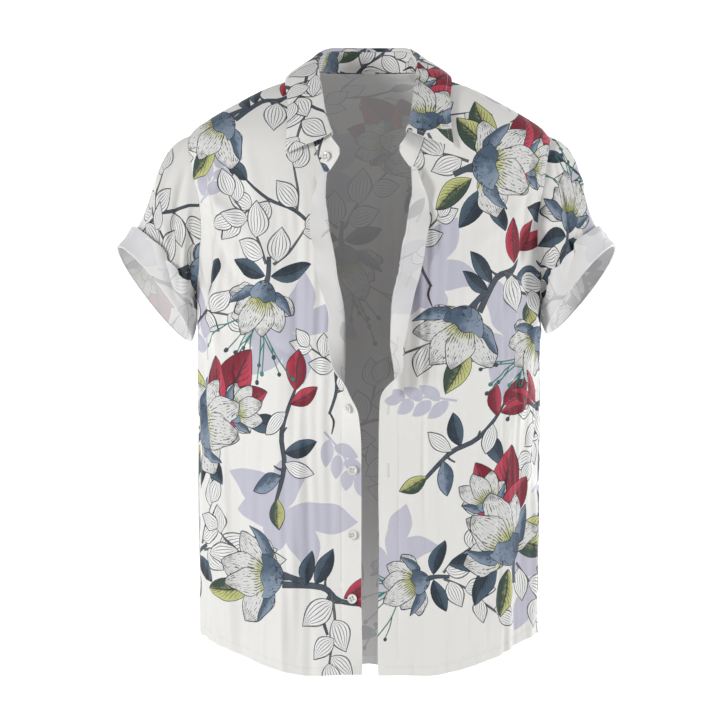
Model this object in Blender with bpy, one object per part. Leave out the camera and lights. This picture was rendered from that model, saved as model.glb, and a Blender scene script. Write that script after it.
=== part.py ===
"""Short-sleeved printed shirt, worn open with no wearer: a hollow garment of sewn cloth walls.

The frame has +Z up, the front towards -Y and the wearer's left towards +X. The origin lies at
the neck base, between the two side-neck points, where the wearer's shoulders carry the shirt.
Every panel lies on one body surface, read from a table of level sections; angles go round that
surface from the centre front (0) over the side seam (90) to the centre back (180).
"""

import bisect
import math

import bmesh
import bpy
import numpy as np

# Driving dimensions, in metres and degrees.
WALL = 0.0015
SEAM_GAP = 0.0004
SEAM_EASE = 1.0  # degrees off the side line
SQUARENESS = 2.2  # 2 gives plain ellipses, more gives fuller corners

# One level section a row.
SECTION_COLUMNS = ("z", "half_width", "front_depth", "back_depth")
SECTIONS = (
    (-0.740, 0.2020, 0.118, 0.116),
    (-0.600, 0.2040, 0.119, 0.114),
    (-0.450, 0.2055, 0.122, 0.113),
    (-0.330, 0.2060, 0.124, 0.115),
    (-0.250, 0.2065, 0.121, 0.118),
    (-0.190, 0.2075, 0.111, 0.118),
    (-0.150, 0.2105, 0.101, 0.115),
    (-0.110, 0.2170, 0.088, 0.108),
    (-0.080, 0.2200, 0.077, 0.101),
    (-0.064, 0.2110, 0.070, 0.096),
    (-0.050, 0.1920, 0.0625, 0.091),
    (-0.030, 0.1570, 0.050, 0.083),
    (-0.0125, 0.1220, 0.036, 0.075),
    (-0.003, 0.0940, 0.0245, 0.070),
    (0.0035, 0.0670, 0.0140, 0.065),
    (0.0100, 0.0500, 0.0070, 0.060),
)

# Shirttail hem: lowest either side of the centre, rising to the side seams.
HEM_LOW = -0.7175
HEM_RISE = 0.049
HEM_RISE_FROM = 0.35  # share of the half width
HEM_POWER = 1.6
HEM_CENTRE_RISE = 0.006

# Armholes, round the side line.
ARMHOLE_TOP = -0.070
ARMHOLE_BOTTOM = -0.283
ARMHOLE_FRONT = 17.0
ARMHOLE_BACK = 16.0
ARMHOLE_ROUNDNESS = 0.85
NECK_SIDE_Z = 0.0035
NECK_BACK_Z = 0.0065

# Front edges, top to hem: where the edge strip turns outward, its width, how far it is turned
# over and the radius that it turns on.
ROLL_COLUMNS = ("z", "fold_x", "strip", "turn", "radius")
ROLLS = {
    "right": (
        (-0.1155, 0.0540, 0.012, 150, 0.0034),
        (-0.1390, 0.0550, 0.018, 160, 0.0032),
        (-0.1580, 0.0530, 0.024, 170, 0.0030),
        (-0.1900, 0.0500, 0.028, 173, 0.0030),
        (-0.2200, 0.0450, 0.030, 173, 0.0031),
        (-0.2600, 0.0380, 0.030, 170, 0.0033),
        (-0.3000, 0.0335, 0.029, 160, 0.0038),
        (-0.3400, 0.0325, 0.028, 128, 0.0045),
        (-0.3750, 0.0345, 0.028, 75, 0.0050),
        (-0.4100, 0.0370, 0.028, 28, 0.0060),
        (-0.4600, 0.0370, 0.028, 6, 0.0060),
        (-0.7300, 0.0360, 0.028, 4, 0.0060),
    ),
    "left": (
        (-0.1085, 0.0540, 0.012, 150, 0.0034),
        (-0.1330, 0.0545, 0.019, 160, 0.0032),
        (-0.1550, 0.0520, 0.027, 172, 0.0030),
        (-0.1900, 0.0460, 0.034, 173, 0.0031),
        (-0.2330, 0.0375, 0.034, 172, 0.0033),
        (-0.2820, 0.0310, 0.033, 162, 0.0038),
        (-0.3200, 0.0305, 0.033, 132, 0.0045),
        (-0.3600, 0.0350, 0.033, 80, 0.0050),
        (-0.4000, 0.0420, 0.033, 30, 0.0060),
        (-0.4500, 0.0440, 0.033, 6, 0.0060),
        (-0.7300, 0.0430, 0.033, 4, 0.0060),
    ),
}

STRIP_DROP = 0.004  # of the rolled strip's top end, below the neck corner

# Largest hanging folds: the angle each runs at, its half width there, its height off the
# surface, and the levels where it starts and is deepest.
FOLD_COLUMNS = ("angle", "spread", "height", "top", "deep")
FOLDS = (
    (-62, 7.0, 0.0045, -0.18, -0.60),
    (-46, 6.0, -0.0040, -0.20, -0.62),
    (-30, 6.0, 0.0030, -0.26, -0.55),
    (28, 5.5, -0.0030, -0.24, -0.60),
    (44, 6.5, 0.0045, -0.20, -0.55),
    (60, 6.0, -0.0045, -0.22, -0.66),
    (118, 8.0, 0.0060, -0.20, -0.66),
    (138, 7.0, -0.0055, -0.16, -0.62),
    (163, 8.0, 0.0055, -0.22, -0.66),
    (190, 8.0, -0.0050, -0.18, -0.60),
    (214, 7.0, 0.0060, -0.20, -0.66),
    (238, 8.0, -0.0050, -0.20, -0.66),
)

# Sleeve openings, seen from the front, for each side: outer and inner end of the opening.
SLEEVE_COLUMNS = ("outer_x", "outer_z", "inner_x", "inner_z")
SLEEVES = {
    "right": (0.3020, -0.2040, 0.2150, -0.3160),
    "left": (0.2960, -0.2030, 0.2150, -0.3070),
}
OPENING_HALF_DEPTH = 0.052
OPENING_TILT = 0.22  # sine of the tilt that turns the opening forward
SLEEVE_BOW = 0.36  # reach of the sleeve's end directions, as a share of its length
CUFF_HEIGHT = 0.030
CUFF_STAND_OFF = 0.0009
CUFF_FLARE = 0.0028
CUFF_MOST_SHARE = 0.62  # of the sleeve's length, where that is short
SLEEVE_BULGE = 0.35

# Collar, a row a station from the back centre to the front end, for each side: the neck seam on
# the body, the stand's top edge, and the leaf's lower edge over the body, as angle and level.
COLLAR_COLUMNS = ("seam_x", "seam_z", "top_x", "top_y", "top_z", "edge_angle", "edge_z")
COLLAR = {
    "right": (
        (0.0000, 0.0065, 0.0000, 0.0600, 0.0330, 180.0, -0.0100),
        (0.0280, 0.0065, 0.0270, 0.0565, 0.0330, 160.0, -0.0100),
        (0.0500, 0.0060, 0.0480, 0.0400, 0.0320, 137.0, -0.0080),
        (0.0670, 0.0035, 0.0605, 0.0080, 0.0235, 105.0, -0.0035),
        (0.0715, -0.0150, 0.0620, -0.0260, 0.0060, 58.0, -0.0095),
        (0.0720, -0.0420, 0.0580, -0.0480, -0.0215, 34.5, -0.0350),
        (0.0695, -0.0690, 0.0540, -0.0660, -0.0480, 27.0, -0.0630),
        (0.0625, -0.0950, 0.0455, -0.0815, -0.0730, 26.2, -0.0960),
        (0.0540, -0.1155, 0.0345, -0.0925, -0.0865, 26.2, -0.1100),
    ),
    "left": (
        (0.0000, 0.0065, 0.0000, 0.0600, 0.0330, 180.0, -0.0100),
        (0.0280, 0.0065, 0.0260, 0.0565, 0.0330, 160.0, -0.0100),
        (0.0500, 0.0060, 0.0465, 0.0400, 0.0320, 137.0, -0.0080),
        (0.0670, 0.0035, 0.0580, 0.0080, 0.0235, 105.0, -0.0035),
        (0.0715, -0.0150, 0.0590, -0.0260, 0.0065, 58.0, -0.0090),
        (0.0720, -0.0400, 0.0560, -0.0470, -0.0200, 35.2, -0.0330),
        (0.0695, -0.0650, 0.0530, -0.0640, -0.0450, 27.7, -0.0590),
        (0.0620, -0.0890, 0.0465, -0.0790, -0.0690, 26.6, -0.0890),
        (0.0540, -0.1085, 0.0360, -0.0905, -0.0830, 26.6, -0.1030),
    ),
}
LEAF_CLEARANCE = 0.0050
LEAF_GAP = 0.0006  # over the stand's top edge
TURN_EASE = 2  # how often the leaf's directions are evened out along the collar
LEAF_END = 7.0 / 8.0  # the leaf stops short of the stand's rounded end
TAB_FROM = 0.86
TAB_BULGE = 0.0060
STAND_GAP = 0.0009
STAND_LIFT = 0.0010
TAB_SHRINK = 0.10
LEAF_RISE = 0.0010
LEAF_RADIUS = 0.0034
LEAF_TURN = 150
LEAF_TURN_STEPS = 5
LEAF_FALL_STEPS = 4
LEAF_BOW = 0.005

# Buttons: the neck button on the stand, and a row down the wearer's right front.
BUTTON_DIAMETER = 0.0115
BUTTON_THICKNESS = 0.0024
BUTTON_DISH = 0.0006
BUTTON_GAP = 0.0022  # left by the sewing thread
NECK_BUTTON_STEP = 1
BUTTON_LEVELS = (-0.170, -0.246, -0.322, -0.397, -0.472, -0.549, -0.625)
BUTTON_FROM_EDGE = 0.0105
BUTTON_SEGMENTS = 16

LABEL = {"width": 0.016, "drop": 0.0035, "thickness": 0.0010, "clearance": 0.0020}

# Mesh resolution.
LOW_ROWS = 11  # hem to underarm
HIGH_ROWS = 17  # underarm to shoulder
NECK_ROWS_BACK = 6  # of those, the ones that end on the neck seam behind
NECK_ROWS_FRONT = 10  # and in front
SIDE_PLACE = NECK_ROWS_BACK / (NECK_ROWS_BACK + NECK_ROWS_FRONT)  # side-neck point's place
COLLAR_STEPS = 2 * (NECK_ROWS_BACK + NECK_ROWS_FRONT)
PANEL_COLUMNS = 12  # edge to side seam, and half of the back
STRIP_TURN_STEPS = 5
STRIP_FLAT_STEPS = 3
SLEEVE_SIDES = 32
SLEEVE_ROWS = 9
CUFF_ROWS = 3
STAND_ROWS = 4

# Colour, roughness, metallic.
CLOTH = ((0.80, 0.78, 0.72), 0.62, 0.0)
CLOTH_SHADE = ((0.74, 0.72, 0.68), 0.66, 0.0)
PEARL = ((0.88, 0.87, 0.84), 0.25, 0.0)
TAPE = ((0.85, 0.84, 0.80), 0.70, 0.0)

SIGN = {"right": -1.0, "left": 1.0}  # the wearer's right is at -X


def smooth(value):
    """0 to 1 with level ends."""
    value = np.clip(value, 0.0, 1.0)
    return value * value * (3.0 - 2.0 * value)


def unit(vector):
    """A vector's direction."""
    return vector / max(np.linalg.norm(vector), 1e-12)


def bezier(a, b, c, d, t):
    """A cubic curve's point."""
    return a * (1 - t) ** 3 + 3 * b * t * (1 - t) ** 2 + 3 * c * t * t * (1 - t) + d * t**3


def through(table, position, column):
    """One column of a table, read by a smooth curve over the rows' even positions from 0 to 1."""
    values = [row[column] for row in table]
    last = len(values) - 1
    place = min(max(position, 0.0), 1.0) * last
    i = min(int(place), last - 1)
    t = place - i
    before, a, b, after = (values[min(max(i + k, 0), last)] for k in (-1, 0, 1, 2))
    return 0.5 * (
        2 * a
        + (b - before) * t
        + (2 * before - 5 * a + 4 * b - after) * t * t
        + (3 * a - before - 3 * b + after) * t**3
    )


def curve(table, column, key=0):
    """A smooth function of the key column through a table's rows, which never overshoots them."""
    rows = sorted(table, key=lambda row: row[key])
    xs = np.array([row[key] for row in rows], float)
    ys = np.array([row[column] for row in rows], float)
    steps = np.diff(xs)
    slopes = np.diff(ys) / steps
    tangents = np.zeros(len(xs))
    tangents[0], tangents[-1] = slopes[0], slopes[-1]
    for i in range(1, len(xs) - 1):
        if slopes[i - 1] * slopes[i] > 0:
            w1 = 2 * steps[i] + steps[i - 1]
            w2 = steps[i] + 2 * steps[i - 1]
            tangents[i] = (w1 + w2) / (w1 / slopes[i - 1] + w2 / slopes[i])

    def read(x):
        x = min(max(x, xs[0]), xs[-1])
        i = min(bisect.bisect_right(xs, x) - 1, len(xs) - 2)
        t = (x - xs[i]) / steps[i]
        return (
            ys[i] * (1 + 2 * t) * (1 - t) ** 2
            + tangents[i] * steps[i] * t * (1 - t) ** 2
            + ys[i + 1] * t * t * (3 - 2 * t)
            + tangents[i + 1] * steps[i] * t * t * (t - 1)
        )

    return read


HALF_WIDTH, FRONT_DEPTH, BACK_DEPTH = (curve(SECTIONS, column) for column in (1, 2, 3))
ROLL = {
    side: {name: curve(rows, i) for i, name in enumerate(ROLL_COLUMNS) if i}
    for side, rows in ROLLS.items()
}


def fold_height(angle, z):
    """How far the hanging folds stand off the plain surface."""
    total = 0.0
    for centre, spread, height, top, deep in FOLDS:
        away = (angle - centre + 180.0) % 360.0 - 180.0
        total += height * math.exp(-((away / spread) ** 2)) * smooth((top - z) / (top - deep))
    return total


def body_point(angle, z):
    """The body surface's outer face."""
    a = math.radians(angle)
    half_width = HALF_WIDTH(z)
    depth = FRONT_DEPTH(z) if math.cos(a) > 0 else BACK_DEPTH(z)
    s, c = math.sin(a), math.cos(a)
    k = (abs(s) ** SQUARENESS + abs(c) ** SQUARENESS) ** (-1.0 / SQUARENESS)
    point = np.array([half_width * k * s, -depth * k * c, z])
    outward = np.array([s / half_width, -c / depth, 0.0])
    return point + outward / np.linalg.norm(outward) * fold_height(angle, z)


def body_frame(angle, z):
    """Point, outward normal and level direction towards a greater angle.

    Both edges of a side seam take the side line's own normal, so that they stay parallel.
    """
    point = body_point(angle, z)
    if abs(abs(angle) - 90.0) < SEAM_EASE:
        angle = math.copysign(90.0, angle)
    round_it = body_point(angle + 0.6, z) - body_point(angle - 0.6, z)
    up = body_point(angle, z + 0.0015) - body_point(angle, z - 0.0015)
    normal = np.cross(round_it, up)
    normal /= np.linalg.norm(normal)
    return point, normal, round_it / np.linalg.norm(round_it)


def angle_at(x, z):
    """The front angle, 0 to 90, where the surface is x from the centre."""
    share = min(max(x / HALF_WIDTH(z), 1e-6), 1.0 - 1e-9) ** SQUARENESS
    return math.degrees(math.atan((share / (1.0 - share)) ** (1.0 / SQUARENESS)))


def hem_level(angle):
    """The shirttail hem's level."""
    a = math.radians(angle)
    s, c = abs(math.sin(a)), abs(math.cos(a))
    share = s * (s**SQUARENESS + c**SQUARENESS) ** (-1.0 / SQUARENESS)
    rise = max(share - HEM_RISE_FROM, 0.0) / (1.0 - HEM_RISE_FROM)
    centre = max(1.0 - share / HEM_RISE_FROM, 0.0)
    return HEM_LOW + HEM_RISE * rise**HEM_POWER + HEM_CENTRE_RISE * centre**2


def armhole(turn, front):
    """Angle and level on the armhole, turn going from 0 at the top to 1 at the underarm."""
    reach = ARMHOLE_FRONT if front else -ARMHOLE_BACK
    middle, half = 0.5 * (ARMHOLE_TOP + ARMHOLE_BOTTOM), 0.5 * (ARMHOLE_TOP - ARMHOLE_BOTTOM)
    away = reach * math.sin(math.pi * turn) ** ARMHOLE_ROUNDNESS
    return 90.0 - away, middle + half * math.cos(math.pi * turn)


def collar_row(side, place):
    """The collar's values at a place from 0, the back centre, to 1, the front end."""
    return {
        name: through(COLLAR[side], place, column) for column, name in enumerate(COLLAR_COLUMNS)
    }


def seam_angle(side, place):
    """Angle and level of the neck seam at a place along the collar."""
    row = collar_row(side, place)
    angle = angle_at(row["seam_x"], row["seam_z"])
    return (180.0 - angle if place < SIDE_PLACE else angle), row["seam_z"]


def seam_line(front, z):
    """The side and shoulder seam's angle at level z: half a seam gap off the side line."""
    depth = FRONT_DEPTH(z) if front else BACK_DEPTH(z)
    away = math.degrees(SEAM_GAP / 2 / depth)
    return 90.0 - away if front else 90.0 + away


def patch(bottom, top, inner, outer, columns, rows):
    """A grid of (angle, level) filling four edges, each a function of 0 to 1."""
    c00, c10, c01, c11 = bottom(0), bottom(1), top(0), top(1)
    grid = []
    for j in range(rows + 1):
        v = j / rows
        line = []
        for i in range(columns + 1):
            u = i / columns
            sides = (1 - v) * bottom(u) + v * top(u) + (1 - u) * inner(v) + u * outer(v)
            corners = (
                (1 - u) * (1 - v) * c00 + u * (1 - v) * c10 + (1 - u) * v * c01 + u * v * c11
            )
            line.append(sides - corners)
        grid.append(line)
    return grid


def half_grid(front, edge_low, edge_high):
    """(angle, level) rows of a front or half back from its inner edge to its side.

    edge_low and edge_high give the inner edge from hem to underarm level and from there over
    the neck seam to the side-neck point. The outer edge is the side seam and the armhole.
    """

    def seam(z):
        return seam_line(front, z)

    def clear(place):
        angle, z = place
        return np.array([min(angle, seam(z)) if front else max(angle, seam(z)), z])

    under = np.array([seam(ARMHOLE_BOTTOM), ARMHOLE_BOTTOM])
    side_hem = hem_level(seam(HEM_LOW))

    def hem(u):
        start = edge_low(0.0)[0]
        angle = start + (seam(side_hem) - start) * u
        return np.array([angle, hem_level(angle)])

    def chest(u):
        return edge_low(1.0) + (under - edge_low(1.0)) * u

    def shoulder(u):
        z = NECK_SIDE_Z + (ARMHOLE_TOP - NECK_SIDE_Z) * u
        return np.array([seam(z), z])

    def side(v):
        z = side_hem + (ARMHOLE_BOTTOM - side_hem) * v
        return np.array([seam(z), z])

    def hole(v):
        return clear(armhole(1.0 - v, front))

    def neck(v):
        return clear(edge_high(v))

    low = patch(hem, chest, edge_low, side, PANEL_COLUMNS, LOW_ROWS)
    high = patch(chest, shoulder, neck, hole, PANEL_COLUMNS, HIGH_ROWS)
    return low + high[1:]


def wall_from(name, points, normals, faces, material, wall=WALL):
    """A closed wall: the faces' outer skin, the same skin moved in, and a rim round its edge."""
    count = len(points)
    inner = [tuple(p - n * wall) for p, n in zip(points, normals)]
    edges = {(f[i], f[(i + 1) % len(f)]) for f in faces for i in range(len(f))}
    rims = [(b, a, a + count, b + count) for a, b in sorted(edges) if (b, a) not in edges]
    back = [tuple(i + count for i in reversed(f)) for f in faces]
    return solid(name, [tuple(p) for p in points] + inner, faces + back + rims, material)


def grid_faces(numbers, closed=False):
    """The quads between rows of vertex numbers."""
    faces = []
    for lower, upper in zip(numbers, numbers[1:]):
        columns = min(len(lower), len(upper))
        for i in range(columns if closed else columns - 1):
            k = (i + 1) % columns
            faces.append((lower[i], lower[k], upper[k], upper[i]))
    return faces


def cloth(name, points, normals, material, closed=False):
    """A wall with outer points and their normals given row by row; closed joins the row ends."""
    columns = len(points[0])
    numbers = [[j * columns + i for i in range(columns)] for j in range(len(points))]
    flat_points = [p for row in points for p in row]
    flat_normals = [n for row in normals for n in row]
    return wall_from(name, flat_points, flat_normals, grid_faces(numbers, closed), material)


def solid(name, vertices, faces, material):
    """A mesh object with its faces turned out and its flat faces split the shorter way."""
    mesh = bpy.data.meshes.new(name)
    mesh.from_pydata(vertices, [], faces)
    work = bmesh.new()
    work.from_mesh(mesh)
    bmesh.ops.recalc_face_normals(work, faces=work.faces)
    if work.calc_volume(signed=True) < 0:
        bmesh.ops.reverse_faces(work, faces=work.faces)
    bmesh.ops.triangulate(work, faces=work.faces, quad_method="SHORT_EDGE")
    work.to_mesh(mesh)
    work.free()
    mesh.shade_smooth()
    mesh.set_sharp_from_angle(angle=math.radians(50))
    mesh.materials.append(material)
    built = bpy.data.objects.new(name, mesh)
    bpy.context.collection.objects.link(built)
    return built


def finish(name, look):
    """A Principled material from a colour, a roughness and a metallic value."""
    colour, roughness, metallic = look
    material = bpy.data.materials.new(name)
    material.use_nodes = True
    shader = material.node_tree.nodes["Principled BSDF"]
    shader.inputs["Base Color"].default_value = (*colour, 1.0)
    shader.inputs["Roughness"].default_value = roughness
    shader.inputs["Metallic"].default_value = metallic
    return material


def mirrored(point, side):
    """A point or direction worked out for +X, put on its own side."""
    return np.array([point[0] * SIGN[side], point[1], point[2]])


def side_frame(side, angle, z):
    """body_frame with the angle counted towards the given side."""
    return body_frame(angle * SIGN[side], z)


def strip_path(side, z):
    """The front edge at level z: points and outer normals from the fold line to the free edge."""
    roll = {name: read(z) for name, read in ROLL[side].items()}
    turn = math.radians(roll["turn"])
    start, normal, round_it = side_frame(side, angle_at(roll["fold_x"], z), z)
    inward = -round_it * SIGN[side]
    arc = min(turn * roll["radius"], roll["strip"] * 0.7)
    radius = arc / turn
    points, normals = [], []
    for k in range(1, STRIP_TURN_STEPS + 1):
        a = turn * k / STRIP_TURN_STEPS
        points.append(start + inward * radius * math.sin(a) + normal * radius * (1 - math.cos(a)))
        normals.append(normal * math.cos(a) - inward * math.sin(a))
    ahead = inward * math.cos(turn) + normal * math.sin(turn)
    bend, facing = points[-1], normals[-1]
    for k in range(1, STRIP_FLAT_STEPS + 1):
        points.append(bend + ahead * (roll["strip"] - arc) * k / STRIP_FLAT_STEPS)
        normals.append(facing)
    return points, normals


def front_panel(side, material):
    """A front: the hanging panel and its edge strip, rolled outward above the chest."""
    corner_rows = HIGH_ROWS - NECK_ROWS_FRONT
    corner_share = corner_rows / HIGH_ROWS
    corner_z = collar_row(side, 1.0)["seam_z"]
    hem_z = hem_level(angle_at(ROLLS[side][-1][1], HEM_LOW))

    def fold_line(z):
        return np.array([angle_at(ROLL[side]["fold_x"](z), z), z])

    def edge_low(v):
        return fold_line(hem_z + (ARMHOLE_BOTTOM - hem_z) * v)

    def edge_high(v):
        if v <= corner_share:
            return fold_line(ARMHOLE_BOTTOM + (corner_z - ARMHOLE_BOTTOM) * v / corner_share)
        share = (v - corner_share) / (1.0 - corner_share)
        return np.array(seam_angle(side, 1.0 - share * (1.0 - SIDE_PLACE)))

    grid = half_grid(True, edge_low, edge_high)
    points, normals, numbers, strips = [], [], [], []
    for j, row in enumerate(grid):
        numbers.append(list(range(len(points), len(points) + len(row))))
        for angle, z in row:
            point, normal, _ = side_frame(side, angle, z)
            points.append(point)
            normals.append(normal)
        if j <= LOW_ROWS + corner_rows:
            drop = STRIP_DROP if j == LOW_ROWS + corner_rows else 0.0
            strip_points, strip_normals = strip_path(side, row[0][1] - drop)
            strips.append([numbers[-1][0]] + [len(points) + k for k in range(len(strip_points))])
            points += strip_points
            normals += strip_normals
    faces = grid_faces(numbers) + [tuple(reversed(f)) for f in grid_faces(strips)]
    return wall_from("front_" + side, points, normals, faces, material)


def back_panel(material):
    """The back, from shoulder seams and back neck to the hem."""
    neck_rows = HIGH_ROWS - NECK_ROWS_BACK
    neck_share = neck_rows / HIGH_ROWS
    hem_z = hem_level(180.0)

    def edge_low(v):
        return np.array([180.0, hem_z + (ARMHOLE_BOTTOM - hem_z) * v])

    def edge_high(v):
        if v <= neck_share:
            level = ARMHOLE_BOTTOM + (NECK_BACK_Z - ARMHOLE_BOTTOM) * v / neck_share
            return np.array([180.0, level])
        share = (v - neck_share) / (1.0 - neck_share)
        return np.array(seam_angle("left", share * SIDE_PLACE))

    grid = half_grid(False, edge_low, edge_high)
    points, normals, halves = [], [], []
    for side in ("left", "right"):
        numbers = []
        for j, row in enumerate(grid):
            shared = side == "right" and j <= LOW_ROWS + neck_rows
            line = [halves[0][j][0]] if shared else []
            for angle, z in row[1:] if shared else row:
                point, normal, _ = side_frame(side, angle, z)
                line.append(len(points))
                points.append(point)
                normals.append(normal)
            numbers.append(line)
        halves.append(numbers)
    faces = grid_faces(halves[0]) + [tuple(reversed(f)) for f in grid_faces(halves[1])]
    return wall_from("back", points, normals, faces, material)


def grid_normals(points, closed, outward, column):
    """Normals of a grid, all on the side that agrees with outward at one column of row 0."""
    rows, columns = len(points), len(points[0])
    result = []
    for j in range(rows):
        line = []
        for i in range(columns):
            before, after = (i - 1) % columns, (i + 1) % columns
            if not closed:
                before, after = max(i - 1, 0), min(i + 1, columns - 1)
            along = points[j][after] - points[j][before]
            across = points[min(j + 1, rows - 1)][i] - points[max(j - 1, 0)][i]
            normal = np.cross(along, across)
            line.append(normal / max(np.linalg.norm(normal), 1e-12))
        result.append(line)
    if np.dot(result[0][column], outward) < 0:
        result = [[-n for n in line] for line in result]
    return result


def armhole_ring(side):
    """The armhole seam on the sleeve's side: points, body normals, and the way into the hole."""
    points, normals, inward = [], [], []
    for k in range(SLEEVE_SIDES):
        turn = 2.0 * k / SLEEVE_SIDES
        front = turn <= 1.0
        angle, z = armhole(turn if front else 2.0 - turn, front)
        point, normal, _ = side_frame(side, angle, z)
        points.append(point)
        normals.append(normal)
    middle = sum(points) / len(points)
    for k in range(SLEEVE_SIDES):
        along = points[(k + 1) % SLEEVE_SIDES] - points[k - 1]
        into = np.cross(normals[k], along)
        into /= np.linalg.norm(into)
        inward.append(into if np.dot(into, middle - points[k]) > 0 else -into)
    return points, normals, inward


def opening(side):
    """The sleeve opening's centre, its half axes outward and forward, and the way it faces."""
    outer_x, outer_z, inner_x, inner_z = SLEEVES[side]
    outer = mirrored((outer_x, 0.0, outer_z), side)
    inner = mirrored((inner_x, 0.0, inner_z), side)
    half = 0.5 * (outer - inner)
    facing = unit(np.cross(half, np.array([0.0, 1.0, 0.0])))
    facing = -facing if facing[2] > 0 else facing
    forward = np.array([0.0, -math.sqrt(1 - OPENING_TILT**2), 0.0]) - facing * OPENING_TILT
    return 0.5 * (outer + inner), half, forward * OPENING_HALF_DEPTH, facing


def sleeve_point(start, leave, arrive, end, t):
    """A point on a sleeve line that leaves its seam one way and meets its end another way."""
    reach = max(np.linalg.norm(end - start) * SLEEVE_BOW, 0.004)
    return bezier(start, start + leave * reach, end - arrive * reach, end, t)


def sleeve_grid(side):
    """Sleeve points and normals, from the armhole seam to the turned edge."""
    seam, seam_normals, into = armhole_ring(side)
    centre, half, forward, facing = opening(side)
    outward = mirrored((1.0, 0.0, 0.0), side)
    rows = [[] for _ in range(SLEEVE_ROWS + 1)]
    for k in range(SLEEVE_SIDES):
        a = 2.0 * math.pi * k / SLEEVE_SIDES
        start = seam[k] + into[k] * SEAM_GAP
        end = centre + half * math.cos(a) + forward * math.sin(a)
        low = 0.5 - 0.5 * math.cos(a)  # 0 at the top of the sleeve, 1 at the underarm
        leave = unit(facing * 0.8 + seam_normals[k] * SLEEVE_BULGE + outward * 0.25 * low)
        arrive = unit(facing + outward * 0.25 * (1 - low) - np.array([0.0, 0.0, 1.5]) * low**2)
        for j in range(SLEEVE_ROWS + 1):
            t = j / SLEEVE_ROWS
            rows[j].append(sleeve_point(start, leave, arrive, end, t))
    return rows, grid_normals(rows, True, np.array([0.0, -1.0, 0.0]), SLEEVE_SIDES // 4)


def sleeve(side, material):
    """A sleeve, from the armhole seam to the turned edge."""
    rows, normals = sleeve_grid(side)
    return cloth("sleeve_" + side, rows, normals, material, closed=True)


def cuff(side, material):
    """The turned-up end of a sleeve, standing a little off it."""
    rows, normals = sleeve_grid(side)
    points = [[] for _ in range(CUFF_ROWS + 1)]
    for k in range(SLEEVE_SIDES):
        path = [row[k] for row in reversed(rows)]
        ways = [row[k] for row in reversed(normals)]
        lengths = [0.0]
        for a, b in zip(path, path[1:]):
            lengths.append(lengths[-1] + np.linalg.norm(b - a))
        height = min(CUFF_HEIGHT, CUFF_MOST_SHARE * lengths[-1])
        for j in range(CUFF_ROWS + 1):
            share = j / CUFF_ROWS
            i = min(bisect.bisect_right(lengths, height * share) - 1, len(path) - 2)
            t = (height * share - lengths[i]) / (lengths[i + 1] - lengths[i])
            off = WALL + CUFF_STAND_OFF + CUFF_FLARE * math.sin(0.5 * math.pi * share) ** 2
            way = unit(ways[i] * (1 - t) + ways[i + 1] * t)
            points[j].append(path[i] * (1 - t) + path[i + 1] * t + way * off)
    outward = grid_normals(points, True, np.array([0.0, -1.0, 0.0]), SLEEVE_SIDES // 4)
    return cloth("cuff_" + side, points, outward, material, closed=True)


def station(k):
    """The side and the place, 0 to 1, of one of the collar's steps from right front to left."""
    place = 2.0 * k / COLLAR_STEPS - 1.0
    return ("left" if place > 0 else "right"), abs(place)


def stand_rows():
    """The stand's outer points from the neck seam up, its front ends rounded."""
    seam, lifts, tops, shrinks, ends = [], [], [], [], []
    for k in range(COLLAR_STEPS + 1):
        side, place = station(k)
        row = collar_row(side, place)
        point, normal, _ = side_frame(side, *seam_angle(side, place))
        seam.append(point)
        lifts.append(normal)
        tops.append(mirrored((row["top_x"], row["top_y"], row["top_z"]), side))
        rounding = max(place - TAB_FROM, 0.0) / (1.0 - TAB_FROM)
        ends.append(rounding**2)
        shrinks.append(1.0 - TAB_SHRINK * (1.0 - math.sqrt(1.0 - rounding**2)))
    rows = [[] for _ in range(STAND_ROWS + 1)]
    for k, point in enumerate(seam):
        along = seam[min(k + 1, COLLAR_STEPS)] - seam[max(k - 1, 0)]
        into = unit(np.cross(along, lifts[k]))
        low = point + into * STAND_GAP + lifts[k] * STAND_LIFT
        ahead = unit(along) * math.copysign(TAB_BULGE * ends[k], 2 * k - COLLAR_STEPS)
        for j in range(STAND_ROWS + 1):
            v = j / STAND_ROWS
            rows[j].append(low + (tops[k] - low) * shrinks[k] * v + ahead * math.sqrt(4 * v * (1 - v)))
    return rows


def collar_stand(material):
    """The collar stand, round the neck seam."""
    rows = stand_rows()
    normals = grid_normals(rows, False, np.array([0.0, 1.0, 0.0]), COLLAR_STEPS // 2)
    return cloth("collar_stand", rows, normals, material)


def leaf_line(start, up, out, edge, over):
    """The leaf from the stand's top: a short rise, a round turn, and the fall to its edge."""
    line = [start]
    middle = start + up * LEAF_RISE + out * LEAF_RADIUS
    for k in range(LEAF_TURN_STEPS + 1):
        a = math.radians(LEAF_TURN) * k / LEAF_TURN_STEPS
        line.append(middle + (up * math.sin(a) - out * math.cos(a)) * LEAF_RADIUS)
    a = math.radians(LEAF_TURN)
    ahead = out * math.sin(a) + up * math.cos(a)
    turned = line[-1]
    third = (edge - turned) / 3
    for k in range(1, LEAF_FALL_STEPS + 1):
        reach = np.linalg.norm(third)
        before = edge - third + over * LEAF_BOW
        line.append(bezier(turned, turned + ahead * reach, before, edge, k / LEAF_FALL_STEPS))
    return line


def evened(directions):
    """Directions averaged with their neighbours along a row."""
    for _ in range(TURN_EASE):
        padded = [directions[0], *directions, directions[-1]]
        directions = [unit(a + 2 * b + c) for a, b, c in zip(padded, padded[1:], padded[2:])]
    return directions


def leaf_edge(side):
    """The leaf's lower edge at each row of the collar's table: a point and the way out there."""
    rows = []
    for row in COLLAR[side]:
        lie, over, _ = side_frame(side, *row[-2:])
        rows.append((lie + over * (LEAF_CLEARANCE + WALL), over))
    return rows


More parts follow.
